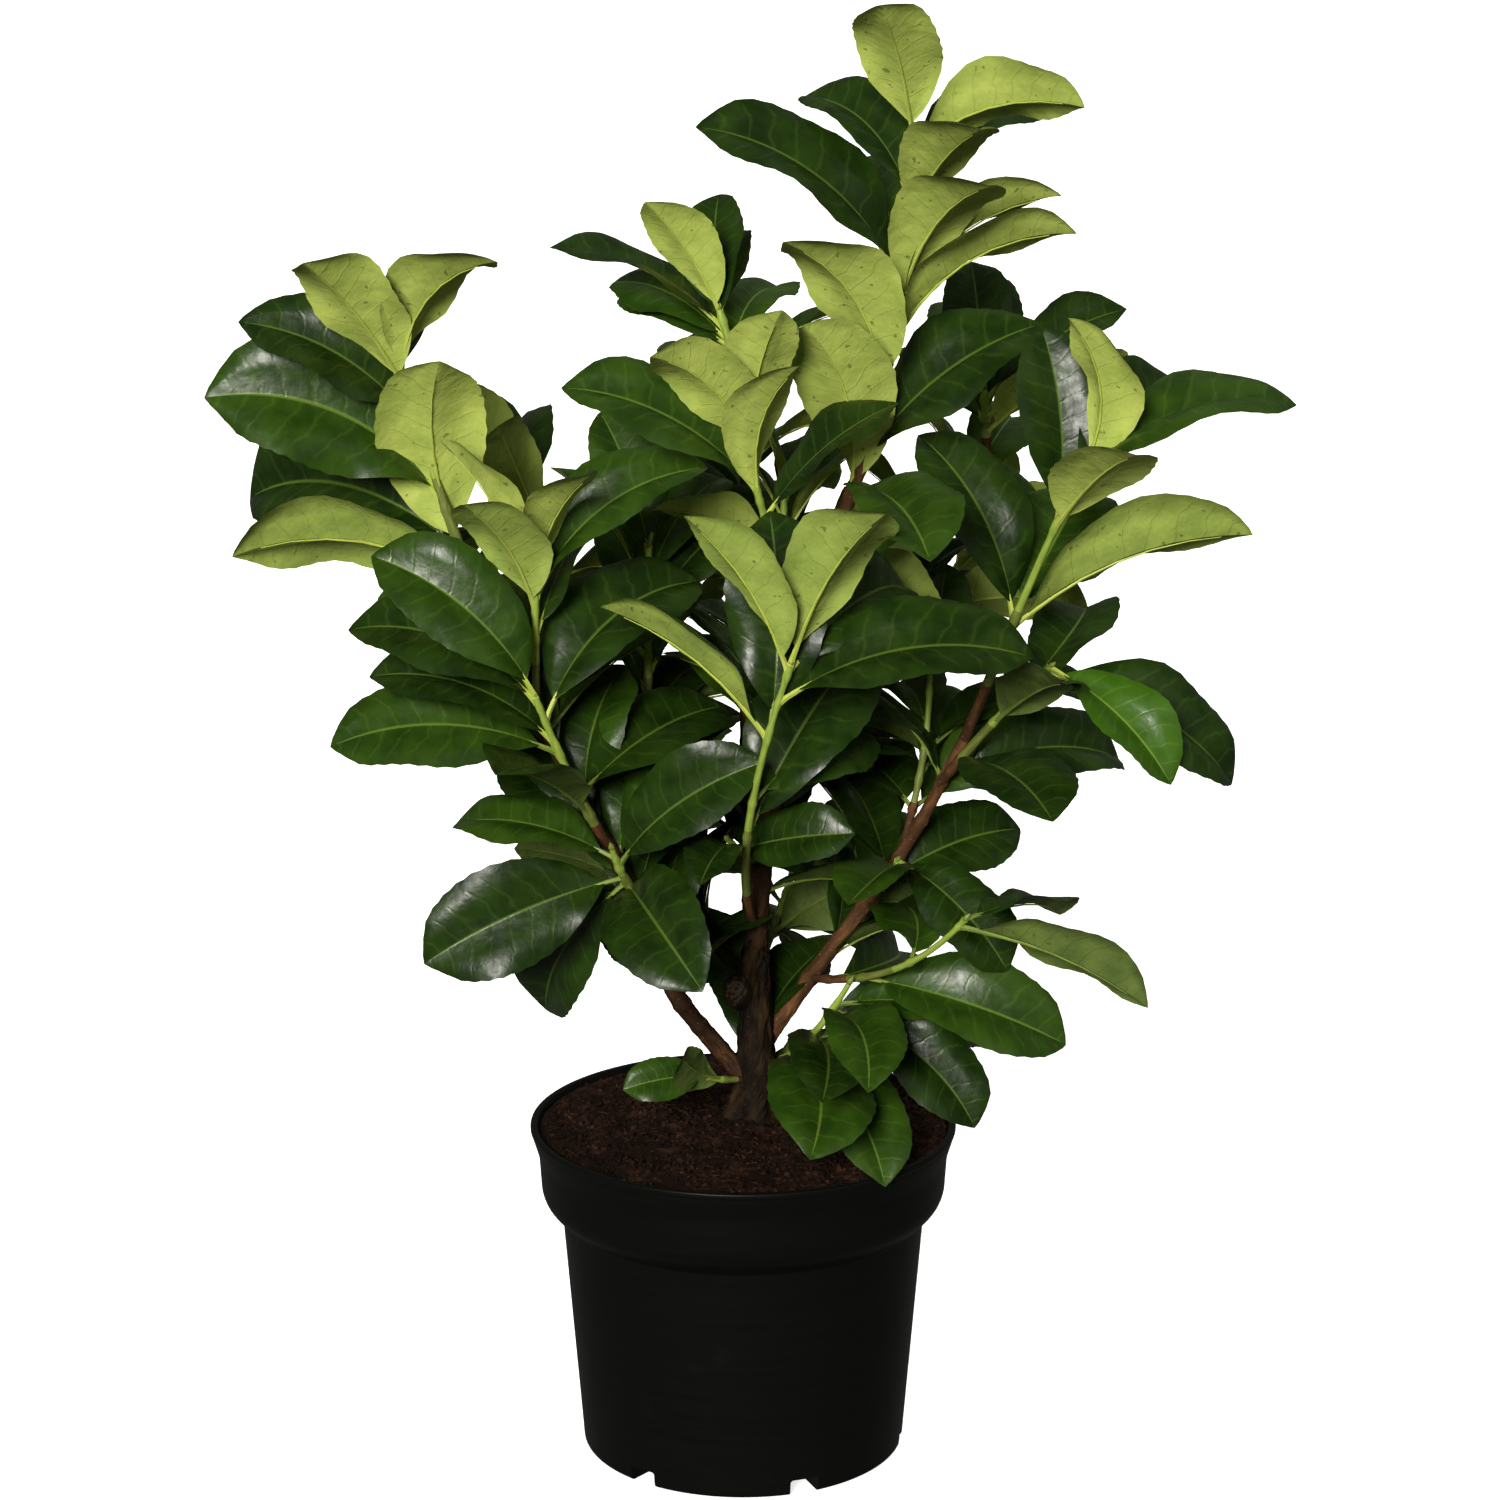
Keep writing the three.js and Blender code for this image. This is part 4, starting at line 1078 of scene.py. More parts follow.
def stem_ahead(stem, share):
    """Direction of a stem at one share of its course."""
    start, bend, tip = stem
    return unit((1 - share) * (bend - start) + share * (tip - bend))


print("stem rule is ready")

# %% Leaf poses
# Least value and spread of a leaf's bend and fold, in degrees, and of its share of the usual width.
LEAF_FORM = [(35, 40), (8, 14), (0.92, 0.2)]
# How far a hidden leaf may stray from the spiral: turn, opening and roll in degrees, and share of length.
TURN_SPREAD = 20
OPEN_SPREAD = 16
ROLL_SPREAD = 60
LENGTH_SPREAD = 0.24
# Opening of a hidden leaf low on its stem and at the tip, in degrees.
OPEN_LOW = 88
OPEN_TIP = 28


def leaf_form(draw):
    """Bend along the midrib, fold across it and share of the usual width, drawn for one leaf."""
    curl, fold, width = [least + spread * draw() for least, spread in LEAF_FORM]
    return {"curl": math.radians(curl), "fold": math.radians(fold), "width": width}


def view_ray(across, down):
    """Direction from the camera through a pixel of the photo."""
    focal = LENS_MM / SENSOR_MM * PHOTO_SIDE
    right = (across - PHOTO_SIDE / 2) / focal
    rise = (PHOTO_SIDE / 2 - down) / focal
    cos = math.cos(TILT_DOWN)
    sin = math.sin(TILT_DOWN)
    return unit(np.array([right, cos + rise * sin, rise * cos - sin]))


def roll_to_show(axis, out, opening, upper_shows):
    """Roll that turns the upper face part of the way to the viewer, or away where the under side shows."""
    ahead = axis * math.cos(opening) + out * math.sin(opening)
    face = axis * math.sin(opening) - out * math.cos(opening)
    level, height = SHOWN_SLOPE
    wanted = np.array([0, -level if upper_shows else level, height])
    wanted = wanted - ahead * (wanted @ ahead)
    roll = math.atan2(np.cross(face, wanted) @ ahead, face @ wanted)
    return max(-ROLL_LIMIT, min(ROLL_LIMIT, SHOWN_ROLL * roll))


def shown_leaf(stem, row, size, lean, upper_shows, form):
    """A leaf whose tip shows at a pixel of the photo; its length says how far it leans away or near."""
    along, across, down = row[:3]
    root = stem_point(stem, along)
    axis = stem_ahead(stem, along)
    eye = np.array(EYE) / MM
    ray = view_ray(across, down)
    middle = (root - eye) @ ray
    miss = np.linalg.norm(root - eye - ray * middle)
    bow = math.sin(form["curl"] / 2) / (form["curl"] / 2)
    chord = max(miss, size * (1 - TIP_SHORTENING * along ** 2) * bow)
    aim = eye + ray * (middle + lean * math.sqrt(chord ** 2 - miss ** 2)) - root
    out = unit(aim - axis * (aim @ axis))
    level = out - axis * out[2] / axis[2]
    opening = math.acos(unit(aim) @ axis)
    roll = roll_to_show(axis, out, opening, upper_shows) + math.radians(sum(row[3:]))
    return {"root": root, "axis": axis, "along": along, "turn": math.atan2(level[1], level[0]),
            "open": opening, "length": chord / bow, "roll": roll, **form}


def hidden_leaf(stem, shoot, number, draw):
    """A leaf by the spiral rule: wide open low down, closing and shorter towards the tip."""
    share = (number + 0.5) / shoot["count"]
    along = SPIRAL_BARE + (1 - SPIRAL_BARE) * share
    spiral = (number * SPIRAL_SHARE) % 1 - 0.5
    turn = shoot["middle"] + shoot["fan"] * spiral + scatter(TURN_SPREAD, draw)
    opening = OPEN_LOW + (OPEN_TIP - OPEN_LOW) * share + scatter(OPEN_SPREAD, draw)
    length = shoot["size"] * (1 + scatter(LENGTH_SPREAD, draw)) * (1 - TIP_SHORTENING * share ** 2)
    roll = math.radians(scatter(ROLL_SPREAD, draw))
    return {"root": stem_point(stem, along), "axis": stem_ahead(stem, along), "along": along,
            "turn": math.radians(turn), "open": math.radians(opening), "length": length, "roll": roll,
            "fresh": False, **leaf_form(draw)}


def turned_leaf(leaf, turn, opening):
    """The same leaf, turned round its stem and opened away from it by some degrees."""
    return dict(leaf, turn=leaf["turn"] + math.radians(turn), open=leaf["open"] + math.radians(opening))


def leaf_poses(shoot, number):
    """For each leaf of a shoot the poses that it may have taken, best first."""
    draw = seeded_draw(SHOOT_SEED + SEED_STEP * number)
    stem = shoot_stem(shoot)
    poses = []
    for kind, lean, upper_shows in (("near", -1, False), ("over", -1, True), ("away", 1, True)):
        for row in shoot.get(kind, ()):
            form = leaf_form(draw)
            tries = []
            fresh = row[1:3] == shoot.get("fresh")
            for share, roll in SHOWN_TRIES:
                leaf = shown_leaf(stem, row, share * shoot["size"], lean, upper_shows, form)
                tries.append(dict(leaf, roll=leaf["roll"] + math.radians(roll), fresh=fresh))
            poses.append(tries)
    for k in range(shoot.get("count", 0)):
        leaf = hidden_leaf(stem, shoot, k, draw)
        poses.append([turned_leaf(leaf, *change) for change in HIDDEN_TRIES])
    return poses


print("pose rules are ready")

# %% [markdown]
# ### Where each leaf went
# A crowded leaf took the first of a few other poses that was clear, and some found no room and were
# left off. The solids know which: a leaf's tip and the widest place of its edge are corners of its
# shoot's solid. So each pose is measured against those corners, and the first that fits is the leaf
# that was grown.

# %% Leaf courses
CORNER_MATCH = 0.3 * MM
ROLL_SHARE = 0.33
WIDEST_SHARE = 0.6
BLADE_HALF_WIDTH = 0.235


def half_width(leaf):
    """Half of a blade's greatest width."""
    return BLADE_HALF_WIDTH * leaf["length"] * leaf["width"]


def leaf_course(leaf, share):
    """Midrib point, direction ahead, upper-face direction and sideways direction of a leaf, at
    shares of its length. Every value is in millimetres."""
    share = np.asarray(share, dtype=float)
    axis = leaf["axis"]
    out = np.array([math.cos(leaf["turn"]), math.sin(leaf["turn"]), 0])
    out = unit(out - axis * (out @ axis))
    first = leaf["open"] - leaf["curl"] / 2
    angle = first + leaf["curl"] * share
    cos = np.cos(angle)[..., None]
    sin = np.sin(angle)[..., None]
    arc = leaf["length"] / leaf["curl"]
    place = leaf["root"] + arc * ((sin - math.sin(first)) * axis + (math.cos(first) - cos) * out)
    ahead = cos * axis + sin * out
    face = sin * axis - cos * out
    twist = (leaf["roll"] * np.minimum(1, share / ROLL_SHARE))[..., None]
    face = face * np.cos(twist) + np.cross(ahead, face) * np.sin(twist)
    return place, ahead, face, np.cross(ahead, face)


def corner_finder(node_name):
    """A tree of the corners of one solid, for quick search."""
    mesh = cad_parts[node_name].data
    finder = kdtree.KDTree(len(mesh.vertices))
    for corner in mesh.vertices:
        finder.insert(corner.co, corner.index)
    finder.balance()
    return finder


def leaf_marks(leaf):
    """The tip of a leaf and one corner of its edge at the widest place."""
    place, _, face, side = leaf_course(leaf, WIDEST_SHARE)
    corner = place + half_width(leaf) * (side * math.cos(leaf["fold"]) + face * math.sin(leaf["fold"]))
    return leaf_course(leaf, 1.0)[0], corner


def grown_leaves(shoot, number):
    """The leaves that the shoot's solid bears."""
    corners = corner_finder(shoot["name"])
    leaves = []
    for poses in leaf_poses(shoot, number):
        for leaf in poses:
            if all(corners.find(Vector(mark * MM))[2] < CORNER_MATCH for mark in leaf_marks(leaf)):
                leaves.append(leaf)
                break
    return leaves


leaves_of = {shoot["name"]: grown_leaves(shoot, number) for number, shoot in enumerate(SHOOTS)}
print("leaves found on the solids:", sum(len(leaves) for leaves in leaves_of.values()))

# %% [markdown]
# ### Leaves inside the crown
# Behind the leaves that show, the boughs carry older ones, which close the crown and make its middle
# dark. The solids leave them out. Here they grow along each bough by the same spiral rule, headed away
# from the viewer, and a leaf only stays where its blade keeps clear of all the others. Checking every
# pair of faces would be slow, so points strewn over the blades are compared through a search tree.

# %% Inner leaves
INNER_PITCH = 17
INNER_CLEAR = 4.5
INNER_SIZE = (72, 96)
INNER_FAN = (15, 165)
INNER_OPEN = 62
INNER_OPEN_SPREAD = 44
INNER_START = 0.3
INNER_RUN = 0.65
INNER_SEED = 5000
SAMPLE_SHARES = np.array([0.25, 0.4, 0.55, 0.7, 0.85, 1.0])
SAMPLE_LINES = np.array([-0.85, -0.45, 0, 0.45, 0.85])


def blade_samples(leaf):
    """Points strewn over a leaf's blade."""
    place, _, face, side = leaf_course(leaf, SAMPLE_SHARES)
    half = half_width(leaf) * np.sin(math.pi * SAMPLE_SHARES ** 1.4) ** 0.5
    reach = SAMPLE_LINES[:, None] * half * math.cos(leaf["fold"])
    lift = np.abs(SAMPLE_LINES)[:, None] * half * math.sin(leaf["fold"])
    return (place + side * reach[..., None] + face * lift[..., None]).reshape(-1, 3)


def sample_tree(leaves):
    """A search tree over the blades of many leaves."""
    points = np.concatenate([blade_samples(leaf) for leaf in leaves])
    tree = kdtree.KDTree(len(points))
    for number, point in enumerate(points):
        tree.insert(Vector(point), number)
    tree.balance()
    return tree


def inner_leaf(name, share, number, draw):
    """One leaf on a bough, headed away from the viewer."""
    before, root, after = limb_course(LIMBS[name][0], [share - 0.01, share, share + 0.01])
    turn = INNER_FAN[0] + (INNER_FAN[1] - INNER_FAN[0]) * ((number * SPIRAL_SHARE) % 1)
    length = INNER_SIZE[0] + (INNER_SIZE[1] - INNER_SIZE[0]) * draw()
    return {"root": root, "axis": unit(after - before), "along": 0.5, "turn": math.radians(turn),
            "open": math.radians(INNER_OPEN + scatter(INNER_OPEN_SPREAD, draw)), "length": length,
            "roll": math.radians(scatter(ROLL_SPREAD, draw)), "fresh": False, **leaf_form(draw)}


def grow_inner_leaves():
    """Leaves along the boughs that keep clear of all leaves before them."""
    placed = [leaf for leaves in leaves_of.values() for leaf in leaves]
    inner = []
    for number, name in enumerate(LIMBS):
        draw = seeded_draw(INNER_SEED + SEED_STEP * number)
        stations = np.array(LIMBS[name][0], dtype=float)
        steps = int(np.linalg.norm(np.diff(stations, axis=0), axis=1).sum() / INNER_PITCH)
        for k in range(steps):
            leaf = inner_leaf(name, INNER_START + INNER_RUN * k / steps, k, draw)
            tree = sample_tree(placed + inner)
            for change in HIDDEN_TRIES:
                tried = turned_leaf(leaf, *change)
                if min(tree.find(Vector(point))[2] for point in blade_samples(tried)) > INNER_CLEAR:
                    inner.append(tried)
                    break
    return inner


inner_leaves = grow_inner_leaves()
print("inner leaves:", len(inner_leaves))

# %% [markdown]
# ### The shape of one leaf
# The blade is a long oval with a short point, broadest a little past its middle, on a stout stalk. Its
# halves rise from the midrib and bulge, its edge rolls down, waves a little and carries a few shallow
# teeth. A flat card would show none of that, so the blade is a grid of a few strips whose cross lines
# slant forward the way the side veins run. The upper and under skins are separate strips that meet at
# the edge, and a round rib carries the blade from below.

# %% Leaf blade
BLADE_STEPS = 24
BLADE_LINES = np.array([0.4, 0.75, 1.0])
STALK_SHARE = 0.1
STALK_RADIUS = 1.25
BROADEST = 0.55
SLENDERNESS = 1.4
POINT_START = 0.86
VEIN_SLANT = 0.5
BLADE_THICKNESS = 0.55
TOOTH = 0.03
TOOTHLESS = 0.15
MORE_FOLD = math.radians(6)
WAVES = 1.6
GROOVE = 0.35


def blade_width(share):
    """Share of the full half width along the blade, from stalk to point."""
    widening = (share / BROADEST) ** BROADEST
    narrowing = (np.clip(1 - share, 0, 1) / (1 - BROADEST)) ** (1 - BROADEST)
    point = np.clip((share - POINT_START) / (1 - POINT_START), 0, 1)
    return (widening * narrowing) ** SLENDERNESS * (1 - 0.5 * point ** 1.5)


def blade_grid(leaf, chance):
    """Upper points, under points and surface places of a blade's grid."""
    half = half_width(leaf)
    u = np.linspace(0, 1, BLADE_STEPS + 1)[:, None]
    rib = np.clip(0.9 * (1 - 0.75 * u) / np.maximum(half * blade_width(u), 1.2), 0.02, 0.3)
    lines = np.concatenate([-BLADE_LINES[::-1], [-1, 1], BLADE_LINES])
    middle = np.abs(np.arange(len(lines)) - (len(lines) - 1) / 2) < 1
    across = np.where(middle, np.sign(lines) * rib, lines)
    apart = np.abs(across)
    share = u + VEIN_SLANT * u * (1 - u) * apart ** 1.3
    wide = np.maximum(half * blade_width(share), STALK_RADIUS * (1 - share))
    place, _, face, side = leaf_course(leaf, STALK_SHARE + (1 - STALK_SHARE) * share)
    teeth = TOOTH * (np.arange(BLADE_STEPS + 1) % 2)[:, None] * (apart > 0.99) * (u > TOOTHLESS)
    fold = leaf["fold"] + MORE_FOLD
    reach = across * wide * math.cos(fold) * (1 + teeth)
    phase = chance.random(2) * 2 * math.pi
    waves = leaf["wave"] * np.sin(2 * math.pi * WAVES * share + np.where(across < 0, *phase))
    bulge = leaf["bulge"] * np.sin(math.pi * apart ** 0.8)
    rolled = leaf["edge_roll"] * apart ** 5
    lift = wide * (apart * math.sin(fold) + bulge - rolled + waves * apart ** 2)
    lift = lift - GROOVE * middle * (1 - u)
    upper = place + side * reach[..., None] + face * lift[..., None]
    thick = BLADE_THICKNESS * (1 - apart ** 8) * np.sin(math.pi * u) ** 0.5
    under = upper - face * thick[..., None]
    surface = np.stack([np.broadcast_to(u, across.shape), 0.5 + 0.5 * across], axis=-1)
    return upper, under, surface


def strip_faces(rows, columns, flipped):
    """Faces of a grid of points; flipped faces look the other way."""
    faces = []
    for i in range(rows - 1):
        for j in range(columns - 1):
            a = i * columns + j
            ahead = a + columns
            faces.append((a, ahead, ahead + 1, a + 1) if flipped else (a, a + 1, ahead + 1, ahead))
    return faces


print("blade rule is ready")

# %% Leaf rib
RIB_SIDES = 5
RIB_SHARES = np.array([0, 0.04, 0.09, 0.14, 0.22, 0.34, 0.48, 0.62, 0.76, 0.88])
RIB_RADII = np.array([1.9, 1.5, 1.35, 1.1, 0.85, 0.7, 0.56, 0.44, 0.32, 0.2])


def leaf_rib(leaf):
    """The stalk and the raised midrib under the blade, as one tapering tube."""
    size = min(1.0, 0.45 + 0.55 * leaf["length"] / 100)
    place, _, face, _ = leaf_course(leaf, RIB_SHARES)
    sunk = np.clip((RIB_SHARES - 0.06) / 0.1, 0, 1) * (BLADE_THICKNESS + 0.35 * RIB_RADII * size)
    course = place - face * sunk[:, None]
    points, faces, _ = tube(course, RIB_RADII * size, RIB_SIDES, tuple(face[0]))
    return points, faces


print("rib rule is ready")

# %% [markdown]
# ### Leaf finishes
# The upper side is a deep glossy green with a pale midrib and faint side veins, and mirrors the lamps
# as a soft sheen. The under side is matt and much paler, a yellow green with fine darker veins and some
# brown freckles; its half-shaded tone and its dull green tone on old leaves are painted shade. A picture
# on each blade would show all leaves alike, so the veins are drawn by nodes on the blade's own map, whose
# lines run with the veins. Each tone is a plain base colour that is dealt out leaf by leaf.

# %% Leaf finishes
VEIN_PAIRS = 9
FRECKLE = (0.075, 0.055, 0.016)


def vein_lines(tree, sharp):
    """Strength of the side veins: one line for each pair, shifted from one half to the other."""
    parts = add_node(tree, "ShaderNodeSeparateXYZ", {0: map_place(tree, "blade")})
    half = reckon(tree, "GREATER_THAN", parts.outputs[1], 0.5)
    bent = reckon(tree, "MULTIPLY", speckle(tree, object_place(tree), 70.0), 0.9)
    along = reckon(tree, "ADD", reckon(tree, "MULTIPLY", parts.outputs[0], VEIN_PAIRS), bent)
    along = reckon(tree, "ADD", along, reckon(tree, "MULTIPLY", half, 0.5))
    ridge = stretch(tree, reckon(tree, "PINGPONG", along, 0.5), 0.0, sharp, 1, 0)
    apart = reckon(tree, "ABSOLUTE", reckon(tree, "SUBTRACT", parts.outputs[1], 0.5))
    fade = stretch(tree, apart, 0.34, 0.47, 1, 0)
    return reckon(tree, "MULTIPLY", ridge, fade), apart


def glossy_leaf(name, shade, light, vein):
    """The upper side of a leaf."""
    finish, tree, shader = start_finish(name, 0.3, Specular_IOR_Level=0.27)
    place = object_place(tree)
    veins, apart = vein_lines(tree, 0.12)
    body = mix_colours(tree, blotches(tree, place, 60.0, 4.0, 0.3, 0.7), shade, light)
    body = mix_colours(tree, reckon(tree, "MULTIPLY", veins, 0.11), body, vein)
    rib = stretch(tree, apart, 0.004, 0.024, 0.65, 0)
    feed(tree, shader, "Base Color", mix_colours(tree, rib, body, vein))
    feed(tree, shader, "Roughness", blotches(tree, place, 170.0, 3.0, 0.3, 0.7, 0.27, 0.41))
    furrows = reckon(tree, "MULTIPLY", veins, 0.1)
    roughen(tree, shader, reckon(tree, "SUBTRACT", speckle(tree, place, 80.0), furrows), 1.3 * MM, 0.5)
    return finish


def matt_leaf(name, shade, light, vein):
    """The under side of a leaf."""
    finish, tree, shader = start_finish(name, 0.65, Specular_IOR_Level=0.22)
    place = object_place(tree)
    veins, _ = vein_lines(tree, 0.06)
    body = mix_colours(tree, blotches(tree, place, 75.0, 4.0, 0.3, 0.7), shade, light)
    net = blotches(tree, place, 520.0, 2.0, 0.45, 0.62, 0, 0.09)
    lines = reckon(tree, "MAXIMUM", reckon(tree, "MULTIPLY", veins, 0.32), net)
    body = mix_colours(tree, lines, body, vein)
    freckles = blotches(tree, place, 240.0, 1.0, 0.7, 0.75, 0, 0.6)
    feed(tree, shader, "Base Color", mix_colours(tree, freckles, body, FRECKLE))
    ribs = reckon(tree, "MULTIPLY", veins, 0.1)
    roughen(tree, shader, reckon(tree, "ADD", speckle(tree, place, 95.0), ribs), 2.2 * MM, 0.5)
    return finish


def pale_rib(name, first, second):
    """The stalk and midrib."""
    finish, tree, shader = start_finish(name, 0.45, Specular_IOR_Level=0.4)
    patches = blotches(tree, object_place(tree), 120.0, 3.0, 0.3, 0.7)
    feed(tree, shader, "Base Color", mix_colours(tree, patches, first, second))
    return finish


LEAF_FINISHES = [
    glossy_leaf("deep_green_leaf", (0.006, 0.018, 0.0017), (0.015, 0.037, 0.0030), (0.10, 0.165, 0.022)),
    glossy_leaf("mid_green_leaf", (0.013, 0.036, 0.0026), (0.027, 0.064, 0.0045), (0.13, 0.215, 0.028)),
    glossy_leaf("fresh_green_leaf", (0.026, 0.080, 0.0035), (0.042, 0.112, 0.0055), (0.20, 0.32, 0.04)),
    matt_leaf("pale_leaf_back", (0.330, 0.415, 0.080), (0.425, 0.505, 0.106), (0.170, 0.230, 0.040)),
    # The half-shaded and old under sides and the old rib are painted shade: darker copies for leaves lower
    # in the crown.
    matt_leaf("half_shaded_leaf_back", (0.240, 0.325, 0.062), (0.320, 0.410, 0.082), (0.125, 0.180, 0.030)),
    matt_leaf("shaded_old_leaf_back", (0.075, 0.115, 0.024), (0.120, 0.172, 0.036), (0.040, 0.064, 0.012)),
    pale_rib("leaf_rib", (0.36, 0.44, 0.065), (0.46, 0.53, 0.095)),
    pale_rib("shaded_old_leaf_rib", (0.13, 0.19, 0.030), (0.20, 0.27, 0.045)),
]
print("leaf finishes:", ", ".join(finish.name for finish in LEAF_FINISHES))

# %% [markdown]
# ### Growing the leaves
# Each shoot's leaves become one piece that stands for its solid. The under sides carry painted light
# and shade by the height of the leaf's root: pale high in the crown, a half-shaded tone lower down, and
# a dull dark green low in the crown, which is painted shade on the older leaves there. One leaf at the
# right is fresh and bright. Copies of one leaf would look stamped, so each gets its own waves, bulge and
# rolled edge from a seeded draw, and its own cell on a second map for the baked colours.

# %% Leaves
DEEP, MID, FRESH, PALE_BACK, HALF_SHADED_BACK, SHADED_OLD_BACK, RIB, SHADED_OLD_RIB = range(8)
MID_SHARE = 0.45
# Heights of a leaf's root in millimetres: below the first its under side is painted shade, above the
# second it is lit; then a random spread, and the shares from which it is lit pale or half shaded.
ALL_SHADED_BELOW = 330
FULLY_LIT_ABOVE = 500
LIGHT_SPREAD = 0.3
PALE_FROM = 0.9
HALF_SHADE_FROM = 0.45
# Least value and spread of each leaf's relief, as shares of its half width.
LEAF_RELIEF = {"wave": (0.06, 0.12), "bulge": (0.05, 0.08), "edge_roll": (0.03, 0.14)}
# Rows of the cell on the map for baked colours: where each skin and the rib start, and their heights.
CELL_EDGE = 0.04
UPPER_ROW = 0.01
UNDER_ROW = 0.48
SKIN_HEIGHT = 0.44
RIB_ROW = 0.94
RIB_HEIGHT = 0.05
LEAF_SEED = 500


def leaf_tones(leaf, chance):
    """Tones of the upper and under side; the under side is painted lit or shaded by its root's height."""
    dice = chance.random()
    upper = FRESH if leaf["fresh"] else MID if dice < MID_SHARE else DEEP
    # The under side's tone is painted light or shade by the height of the leaf's root.
    lit_share = (leaf["root"][2] - ALL_SHADED_BELOW) / (FULLY_LIT_ABOVE - ALL_SHADED_BELOW)
    lit_share = lit_share + scatter(LIGHT_SPREAD, chance.random)
    under = PALE_BACK if lit_share > PALE_FROM else HALF_SHADED_BACK if lit_share > HALF_SHADE_FROM else SHADED_OLD_BACK
    return upper, under


def add_leaf(work, leaf, chance, cell):
    """Adds one leaf's blade and rib to a piece of work."""
    relief = {name: least + spread * chance.random() for name, (least, spread) in LEAF_RELIEF.items()}
    leaf = {**leaf, **relief}
    upper_tone, under_tone = leaf_tones(leaf, chance)
    upper, under, surface = blade_grid(leaf, chance)
    rows, columns = upper.shape[:2]
    low, high = cell
    inset = (high - low) * CELL_EDGE
    start = low + inset
    room = high - low - 2 * inset
    skins = ((upper, False, upper_tone, UPPER_ROW), (under, True, under_tone, UNDER_ROW))
    for points, flipped, tone, row in skins:
        faces = strip_faces(rows, columns, flipped)
        baked = np.stack([start + room * surface[..., 1], row + SKIN_HEIGHT * surface[..., 0]], axis=-1)
        work.add(points.reshape(-1, 3) * MM, faces, [tone] * len(faces),
                 blade=surface.reshape(-1, 2), OFBake=baked.reshape(-1, 2))
    points, faces = leaf_rib(leaf)
    ring = np.arange(len(points)) % (RIB_SIDES + 1) / RIB_SIDES
    step = np.arange(len(points)) // (RIB_SIDES + 1) / (len(RIB_SHARES) - 1)
    baked = np.stack([start + room * step, RIB_ROW + RIB_HEIGHT * ring], axis=-1)
    middle = np.full((len(points), 2), 0.5)
    # Under sides in painted shade get the darker rib, which is painted shade too.
    tone = SHADED_OLD_RIB if under_tone == SHADED_OLD_BACK else RIB
    work.add(points * MM, faces, [tone] * len(faces), blade=middle, OFBake=baked)


def dress(name, leaves, seed, nodes=()):
    """Some leaves as one piece that stands for its solids."""
    chance = np.random.default_rng(seed)
    work = Patchwork("blade", "OFBake")
    for k, leaf in enumerate(leaves):
        add_leaf(work, leaf, chance, (k / len(leaves), (k + 1) / len(leaves)))
    return settle(work.make(name, LEAF_FINISHES), nodes, 50)


leaf_pieces = [dress("inner_leaves", inner_leaves, LEAF_SEED - 1)]
for number, (name, leaves) in enumerate(leaves_of.items()):
    leaf_pieces.append(dress(name + "_leaves", leaves, LEAF_SEED + number, [name]))
print("leaf faces:", sum(len(piece.data.polygons) for piece in leaf_pieces))

# %% [markdown]
# ### Green stems and buds
# The shoots themselves are green where young and brown at the foot, swollen a little where each leaf
# sits, with a small bud above every stalk and a pointed bud at the tip. A curve with a round section
# would do for the stem alone; a tube from rings can also swell at each leaf and change its finish along
# the way. The tubes follow the stems of the solids and start a little inside their limb.

# %% Stem finishes
def stem_skin(name, dark, light):
    """Smooth skin of a stem with faint streaks."""
    finish, tree, shader = start_finish(name, 0.5, Specular_IOR_Level=0.4)
    streaks = blotches(tree, map_place(tree, "bark", (500, 70, 1)), 1.0, 4.0, 0.3, 0.7)
    feed(tree, shader, "Base Color", mix_colours(tree, streaks, dark, light))
    roughen(tree, shader, streaks, 0.2 * MM, 0.6)
    return finish


STEM_FINISHES = [
    YOUNG_BARK,
    stem_skin("olive_stem", (0.10, 0.13, 0.022), (0.17, 0.20, 0.04)),
    stem_skin("green_stem", (0.19, 0.28, 0.035), (0.29, 0.39, 0.06)),
    stem_skin("bud_scale", (0.12, 0.18, 0.028), (0.20, 0.26, 0.045)),
]
print("stem finishes:", ", ".join(finish.name for finish in STEM_FINISHES))

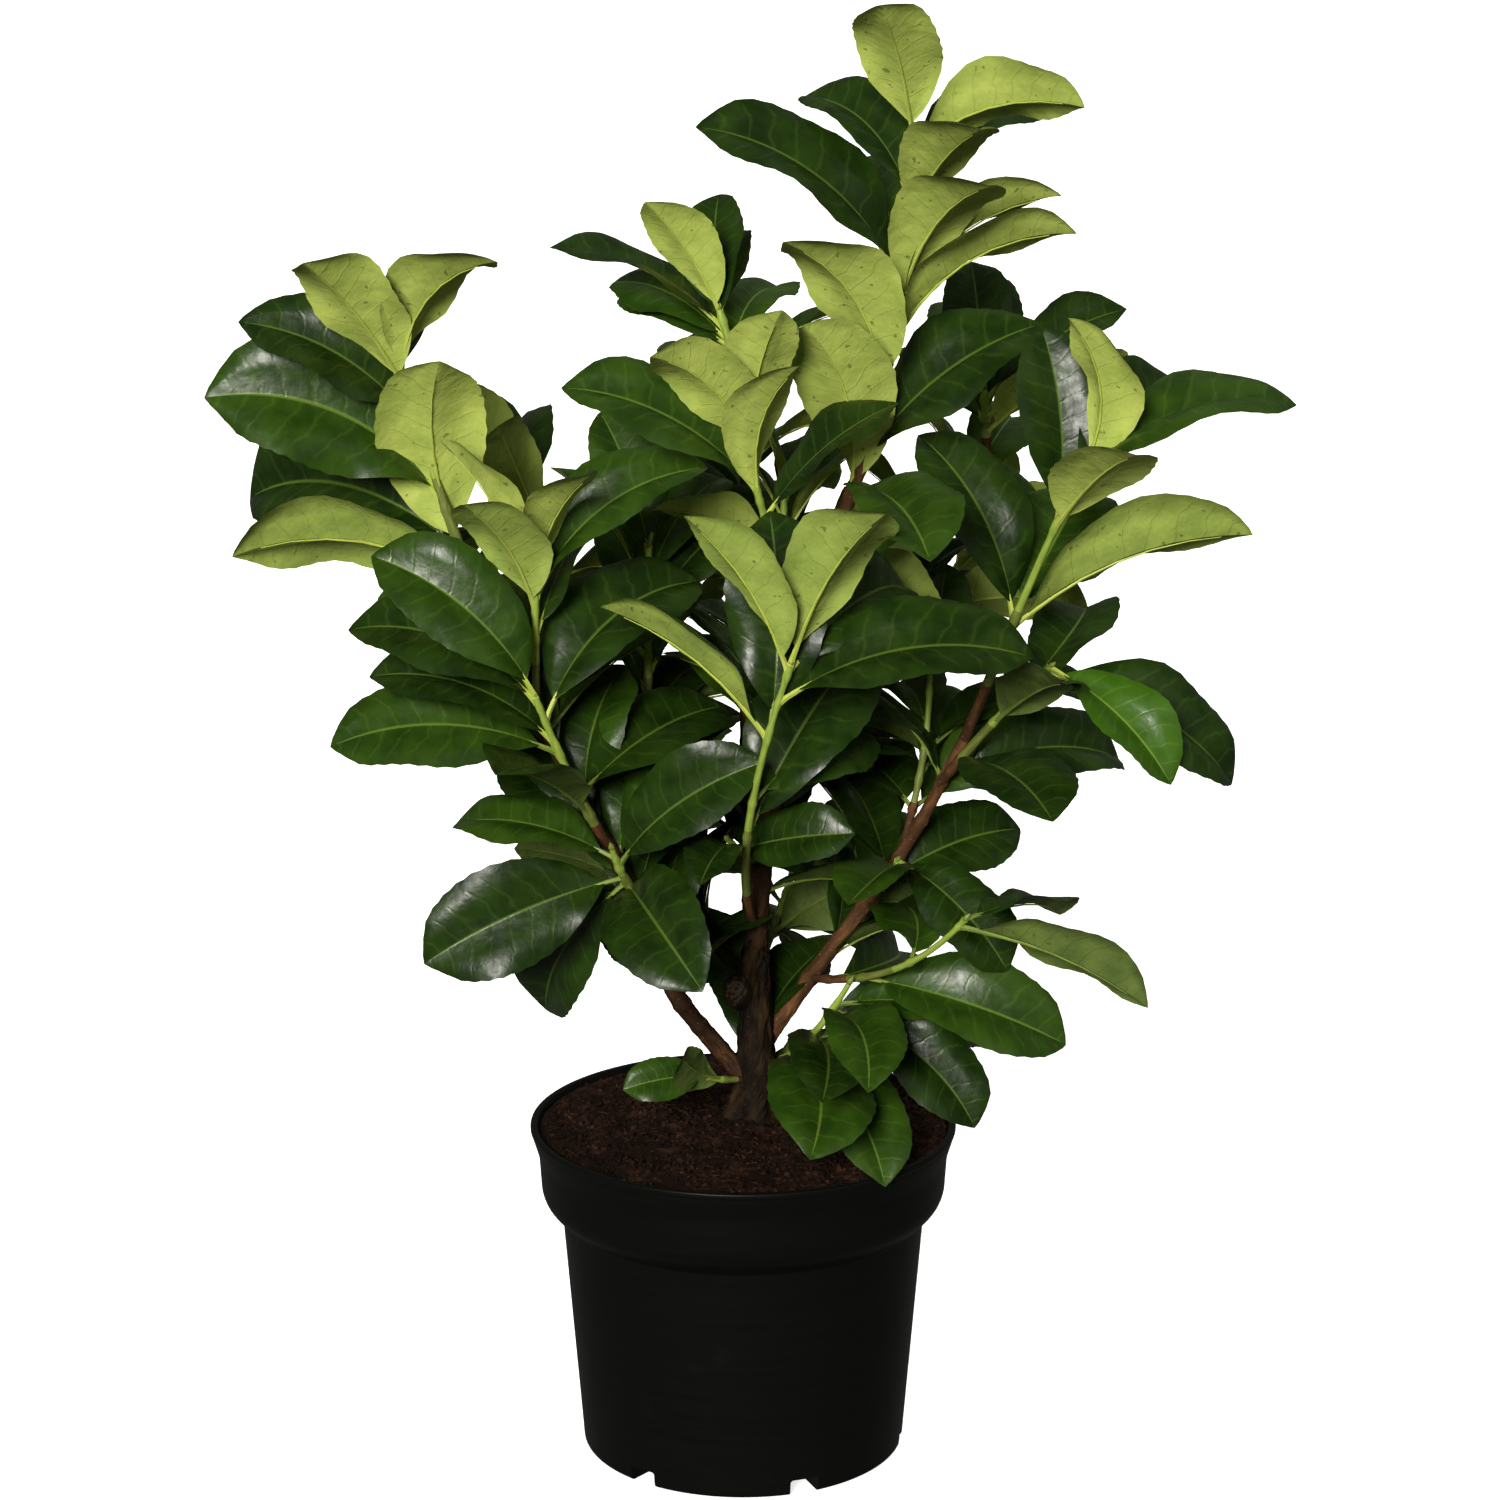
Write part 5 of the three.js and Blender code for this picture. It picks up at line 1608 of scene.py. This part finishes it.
# %% Stems and buds
STEM_SIDES = 10
STEM_TIP_RADIUS = 1.3
STEM_STOUTNESS = 1.15
STEM_PITCH = 2.0
STEM_LEAST_RINGS = 12
SUNK_START = 3.0
JOINT_RISE = 0.55
JOINT_REACH = 2.6
BROWN_TO = 0.22
OLIVE_TO = 0.5
BUD_SIDES = 6
BUD_TONE = 3
TIP_BUD = (5.0, 1.7)
SIDE_BUD = (1.9, 0.8)
SIDE_BUD_LIFT = 1.1
SIDE_BUDS_TO = 0.97
BUD_SHARES = np.array([0, 0.12, 0.35, 0.6, 0.82, 1.0])
BUD_FORM = np.array([0.55, 0.95, 1.0, 0.72, 0.38, 0.05])


def add_bud(work, base, aim, length, radius):
    """One pointed bud."""
    course = base + np.outer(BUD_SHARES * length, aim)
    points, faces, places = tube(course, BUD_FORM * radius, BUD_SIDES, (0.1, 0.9, 0.3))
    work.add(points * MM, faces, [BUD_TONE] * len(faces), bark=places * MM)


def add_stem(work, shoot, leaves):
    """One stem with swellings at its leaves, a bud above each leaf and one at the tip."""
    stem = shoot_stem(shoot)
    length = np.linalg.norm(stem[1] - stem[0]) + np.linalg.norm(stem[2] - stem[1])
    shares = np.linspace(0, 1, max(STEM_LEAST_RINGS, int(length / STEM_PITCH)))
    course = stem_point(stem, shares)
    radii = STEM_STOUTNESS * (shoot["stout"] + (STEM_TIP_RADIUS - shoot["stout"]) * shares)
    for leaf in leaves:
        radii = radii + JOINT_RISE * np.exp(-((shares - leaf["along"]) * length / JOINT_REACH) ** 2)
    if "root" not in shoot:
        course = np.vstack([course[0] - SUNK_START * stem_ahead(stem, 0), course])
        radii = np.concatenate([radii[:1], radii])
    points, faces, places = tube(course, radii, STEM_SIDES)
    ring = np.minimum(np.arange(len(faces)) // STEM_SIDES, len(course) - 1) / (len(course) - 1)
    tones = np.where(ring < BROWN_TO, 0, np.where(ring < OLIVE_TO, 1, 2))
    work.add(points * MM, faces, tones.tolist(), bark=places * MM)
    add_bud(work, stem[2], stem_ahead(stem, 1.0), *TIP_BUD)
    for leaf in leaves:
        place, ahead, face, _ = leaf_course(leaf, 0.02)
        if leaf["along"] < SIDE_BUDS_TO:
            aim = unit(leaf["axis"] * 0.8 + ahead * 0.6)
            add_bud(work, place + face * SIDE_BUD_LIFT, aim, *SIDE_BUD)


def grow_stems():
    """All stems and buds in one piece."""
    work = Patchwork("bark")
    for shoot in SHOOTS:
        add_stem(work, shoot, leaves_of[shoot["name"]])
    return settle(work.make("shoot_stems", STEM_FINISHES), (), 50)


stems = grow_stems()
print("stem faces:", len(stems.data.polygons))
